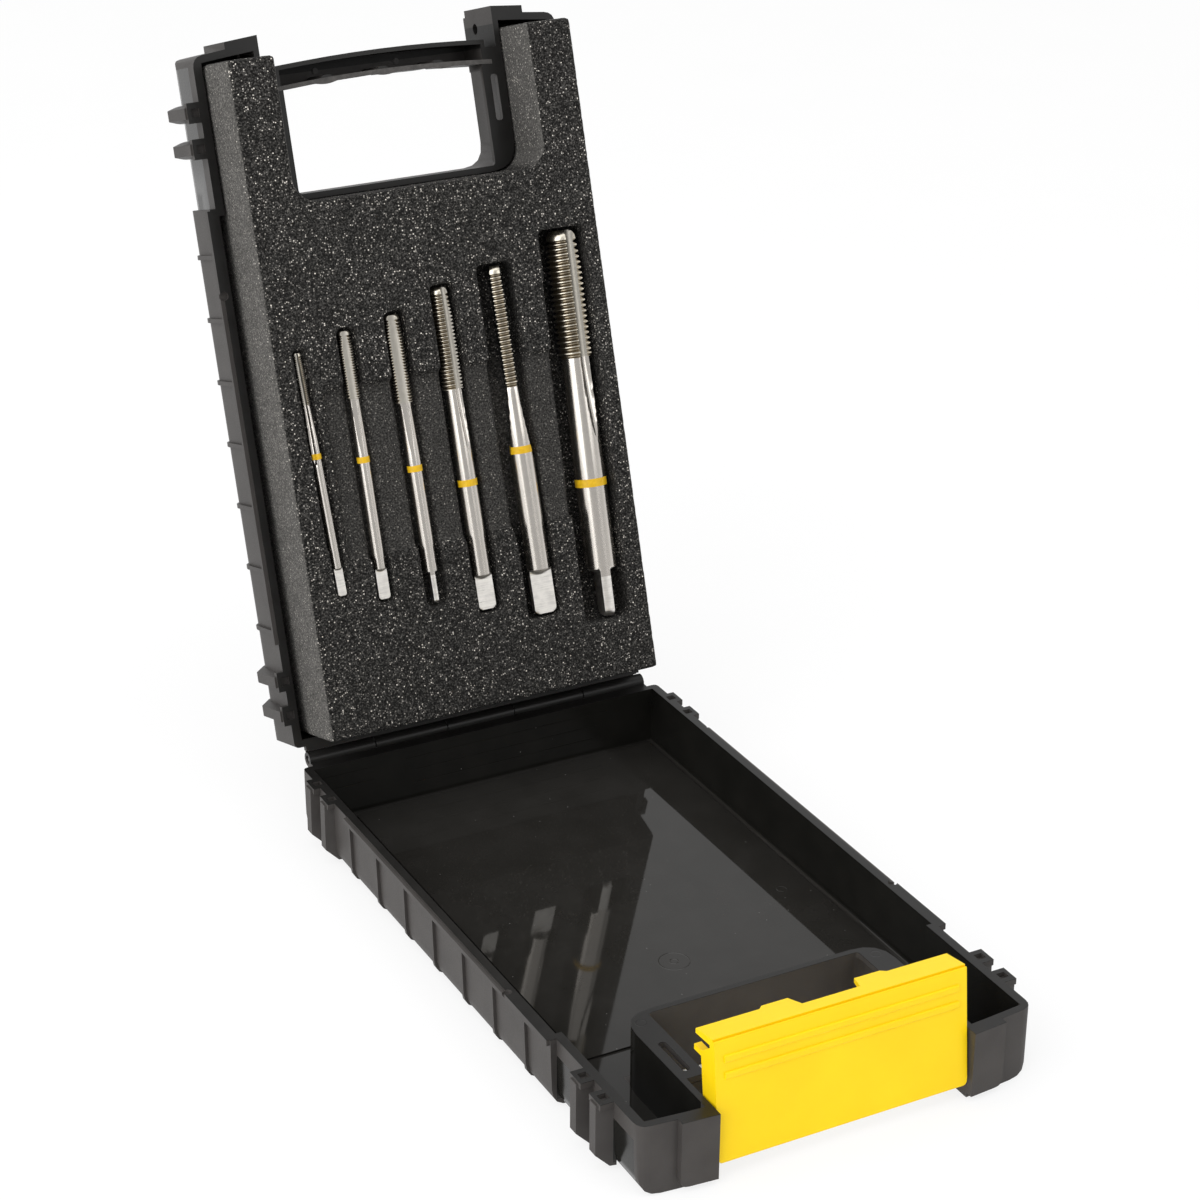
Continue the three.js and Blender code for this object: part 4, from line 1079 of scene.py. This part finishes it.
def foam_mesh():
    """The insert with its trough and pockets, as soft-edged roughened cells."""
    back = SHELL_DEPTH - LID_FLOOR - FOAM_PANEL_GAP
    solid = mesh_from("foam_work", lambda work: foam_outline(work, -FOAM_PROUD, back))
    block = add_object("foam_work", solid)
    trough_low = (-TROUGH_LEFT, -TROUGH_FRONT, -CUTTER_REACH)
    trough_high = (TROUGH_RIGHT, TROUGH_BACK, TROUGH_DEPTH - FOAM_PROUD)
    cutters = [cut_box(block, "trough_cut", trough_low, trough_high)]
    for index, (tap, seat) in enumerate(zip(TAPS, TAP_SEATS)):
        cutters.append(cut_box(block, f"pocket_cut_{index + 1}", *tap_pocket(tap, seat)))
    remesh = block.modifiers.new("cells", "REMESH")
    remesh.mode = "VOXEL"
    remesh.voxel_size = FOAM_VOXEL * MM
    soften = block.modifiers.new("soften", "SMOOTH")
    soften.factor = FOAM_SMOOTH_SHARE
    soften.iterations = FOAM_SMOOTH_TIMES
    mesh = applied_mesh(block, "foam_insert_body")
    for item in [*cutters, block]:
        bpy.data.objects.remove(item)
    roughen(mesh)
    return mesh


def foam_piece(material):
    mesh = foam_mesh()
    mesh.transform(LID_TO_ROW)
    for polygon in mesh.polygons:
        polygon.use_smooth = True
    mesh.materials.clear()
    made = add_object("foam_insert_body", mesh, (material,))
    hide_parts("foam_insert")
    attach(made, "lid")


# Small plastic pieces
def hinge_shade_strip(material):
    """Thin dark strip and hood on the lid closing the slit over the base's knuckles: painted shade.
    """
    def build(work):
        for low, high in (SHADE_STRIP_BOX, SHADE_HOOD_BOX):
            box_into(work, (-SHADE_STRIP_HALF, *low), (SHADE_STRIP_HALF, *high), LID_TO_ROW)
    made = add_object("hinge_shade_strip", mesh_from("hinge_shade_strip", build), (material,))
    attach(made, "lid")


def bowed_edge(x):
    return GRIP_EDGE + x * x / (2 * GRIP_BOW_RADIUS)


def scallop_rise(x):
    """How far the shallow scallops move the grip's inner edge."""
    rise = 0
    for centre in GRIP_SCALLOPS:
        away = abs(x - centre) / GRIP_SCALLOP_HALF
        if away < 1:
            rise += GRIP_SCALLOP_RISE * math.cos(away * math.pi / 2)
    return rise


def bar_grip(material):
    """Scalloped lip along the lid's bar, and two pin marks in the bar's channel."""
    def build(work):
        rings = []
        for step in range(GRIP_STEPS + 1):
            x = GRIP_HALF * (2 * step / GRIP_STEPS - 1)
            outer = bowed_edge(x) - GRIP_WIDTH
            inner = bowed_edge(x) + scallop_rise(x)
            corners = ((outer, GRIP_LOW), (inner, GRIP_LOW), (inner, GRIP_HIGH), (outer, GRIP_HIGH))
            rings.append([work.verts.new((x * MM, y * MM, z * MM)) for y, z in corners])
        ringed_faces(work, rings)
        work.faces.new(rings[0])
        work.faces.new(reversed(rings[-1]))
        low, high = BAR_PIN_HEIGHTS
        radius = BAR_PIN_RADIUS * MM
        for x, y in BAR_PIN_SPOTS:
            place = Matrix.Translation((x * MM, y * MM, (low + high) / 2 * MM))
            bmesh.ops.create_cone(
                work, cap_ends=True, segments=BAR_PIN_SIDES, radius1=radius, radius2=radius,
                depth=(high - low) * MM, matrix=place,
            )
        bmesh.ops.recalc_face_normals(work, faces=work.faces)
        bmesh.ops.transform(work, matrix=LID_TO_ROW, verts=work.verts)
    made = add_object("bar_grip", mesh_from("bar_grip", build), (material,))
    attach(made, "lid")


def guard_skirts(material):
    """Dark webs under the two guards of the base's hand recess."""
    def build(work):
        for side in (-1, 1):
            left, right = sorted(side * x for x in SKIRT_X)
            box_into(work, (left, SKIRT_Y[0], SKIRT_Z[0]), (right, SKIRT_Y[1], SKIRT_Z[1]))
    made = add_object("guard_skirts", mesh_from("guard_skirts", build), (material,))
    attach(made, "base")


# Stage
def camera():
    azimuth, elevation = CAMERA_AZIMUTH, CAMERA_ELEVATION
    back = Vector((
        math.sin(azimuth) * math.cos(elevation),
        -math.cos(azimuth) * math.cos(elevation),
        math.sin(elevation),
    ))
    level = Vector((0, 0, 1)).cross(back).normalized()
    upright = back.cross(level)
    right = math.cos(CAMERA_ROLL) * level + math.sin(CAMERA_ROLL) * upright
    up = -math.sin(CAMERA_ROLL) * level + math.cos(CAMERA_ROLL) * upright
    data = bpy.data.cameras.new("camera")
    data.sensor_width = SENSOR_MM
    data.lens = SENSOR_MM * FOCAL_PIXELS / IMAGE_PIXELS
    data.clip_end = CAMERA_REACH_M
    made = bpy.data.objects.new("camera", data)
    turn = Matrix((right, up, back)).transposed().to_4x4()
    made.matrix_world = Matrix.Translation(Vector(CAMERA_SPOT_MM) * MM) @ turn
    bpy.context.scene.collection.objects.link(made)
    bpy.context.scene.camera = made


def seen_rays(tree):
    """1 for camera, glossy and transmission rays."""
    path = node(tree, "ShaderNodeLightPath").outputs
    seen = math_node(tree, "MAXIMUM", path["Is Camera Ray"], path["Is Glossy Ray"])
    return math_node(tree, "MAXIMUM", seen, path["Is Transmission Ray"])


def floor_material():
    """White ground that keeps a soft shadow, and its own light in the hand recess."""
    material, tree, shader = new_material("floor_white")
    spot = object_coordinates(tree)
    colour = two_tone(tree, noise_value(tree, spot, FLOOR_MOTTLE_SIZE, 2), FLOOR_GREYS)
    finish_shader(tree, shader, colour, FLOOR_MATTE, FLOOR_SPECULAR)
    glow = node(tree, "ShaderNodeEmission", {"Color": WHITE, "Strength": 1.0})
    parts = separate(tree, spot)
    (left, right), (front, back) = HAND_HOLE
    across = between(tree, parts["X"], left, right)
    along = between(tree, parts["Y"], front, back)
    bright = inverse(tree, product(tree, across, along))
    share = math_node(tree, "MULTIPLY", product(tree, seen_rays(tree), bright), FLOOR_WHITENESS)
    sockets = {0: share, 1: shader.outputs[0], 2: glow.outputs[0]}
    mixed = node(tree, "ShaderNodeMixShader", sockets)
    tree.links.new(mixed.outputs[0], tree.nodes["Material Output"].inputs["Surface"])
    return material


def floor():
    half = FLOOR_HALF_M
    mesh = bpy.data.meshes.new("floor")
    corners = [(-half, -half, 0), (half, -half, 0), (half, half, 0), (-half, half, 0)]
    mesh.from_pydata(corners, [], [(0, 1, 2, 3)])
    made = add_object("floor", mesh, (floor_material(),))
    made.location.z = -FLOOR_DROP_M


def area_light(name, spot, size, power):
    data = bpy.data.lights.new(name, "AREA")
    data.shape = "RECTANGLE"
    data.size, data.size_y = size
    data.energy = power
    made = bpy.data.objects.new(name, data)
    made.location = spot
    aim = Vector(LIGHT_TARGET_M) - Vector(spot)
    made.rotation_euler = aim.to_track_quat("-Z", "Y").to_euler()
    bpy.context.scene.collection.objects.link(made)


def world():
    """White all round, dimmer from the viewer's side so that metal and gloss have contrast."""
    made = bpy.data.worlds.new("studio")
    made.use_nodes = True
    bpy.context.scene.world = made
    tree = made.node_tree
    tree.nodes.clear()
    path = node(tree, "ShaderNodeLightPath")
    direction = node(tree, "ShaderNodeTexCoord").outputs["Generated"]
    limits = {"Value": separate(tree, direction)["Y"], "From Min": -1.0, "From Max": 1.0}
    depth = node(tree, "ShaderNodeMapRange", limits).outputs["Result"]
    seen = ramp(tree, depth, WORLD_SEEN)
    light = ramp(tree, depth, WORLD_LIGHT)
    strength = mix_colour(tree, seen_rays(tree), light, seen)
    strength = mix_colour(tree, path.outputs["Is Camera Ray"], strength, WHITE)
    back = node(tree, "ShaderNodeBackground", {"Color": strength, "Strength": 1.0})
    node(tree, "ShaderNodeOutputWorld", {"Surface": back.outputs[0]})


def stage():
    bpy.context.scene.view_settings.view_transform = "Standard"
    camera()
    world()
    for name, light in LIGHTS.items():
        area_light(name, **light)
    floor()


def dress_cad(material, name, edge_width=None):
    """Gives a CAD piece its material and, where a width is given, softened edges."""
    cad_object = frame["nodes"][name]
    cad_object.data.materials.clear()
    cad_object.data.materials.append(material)
    if edge_width:
        soften_edges(cad_object, edge_width)


def main():
    stage()
    base_plastic = shell_plastic("base_plastic", BASE_FLOOR, is_base=True)
    over = Matrix.Rotation(math.pi, 4, "Y") @ Matrix.Translation((0, 0, -SHELL_DEPTH * MM))
    lid_plastic = shell_plastic("lid_plastic", LID_FLOOR, over @ LID_TO_ROW.inverted())
    dress_cad(base_plastic, "lower_shell", EDGE_WIDTH)
    dress_cad(lid_plastic, "upper_shell", EDGE_WIDTH)
    dress_cad(yellow_plastic(), "latch", LATCH_EDGE_WIDTH)
    metals = {name: steel(name) for name in STEELS}
    dress_cad(metals["pin_steel"], "hinge_pin")

    paint = ring_paint()
    for index in range(len(TAPS)):
        # One tap's flutes take the painted shade
        groove = metals["tap_flute_painted_shade" if index == SHADED_FLUTE_TAP else "tap_flute"]
        looks = (
            metals["tap_steel"], metals["tap_crest_highlight"], groove, metals["tap_tang"], paint,
            metals["tap_root_shade"],
        )
        tap_piece(index, looks)
    # Dark strip that stands as painted shade over the hinge slit
    hinge_shade_strip(lid_plastic)
    # The grip's pale grey is a painted highlight on the lip
    bar_grip(lip_highlight_plastic())
    guard_skirts(base_plastic)
    foam_piece(foam_material())


main()
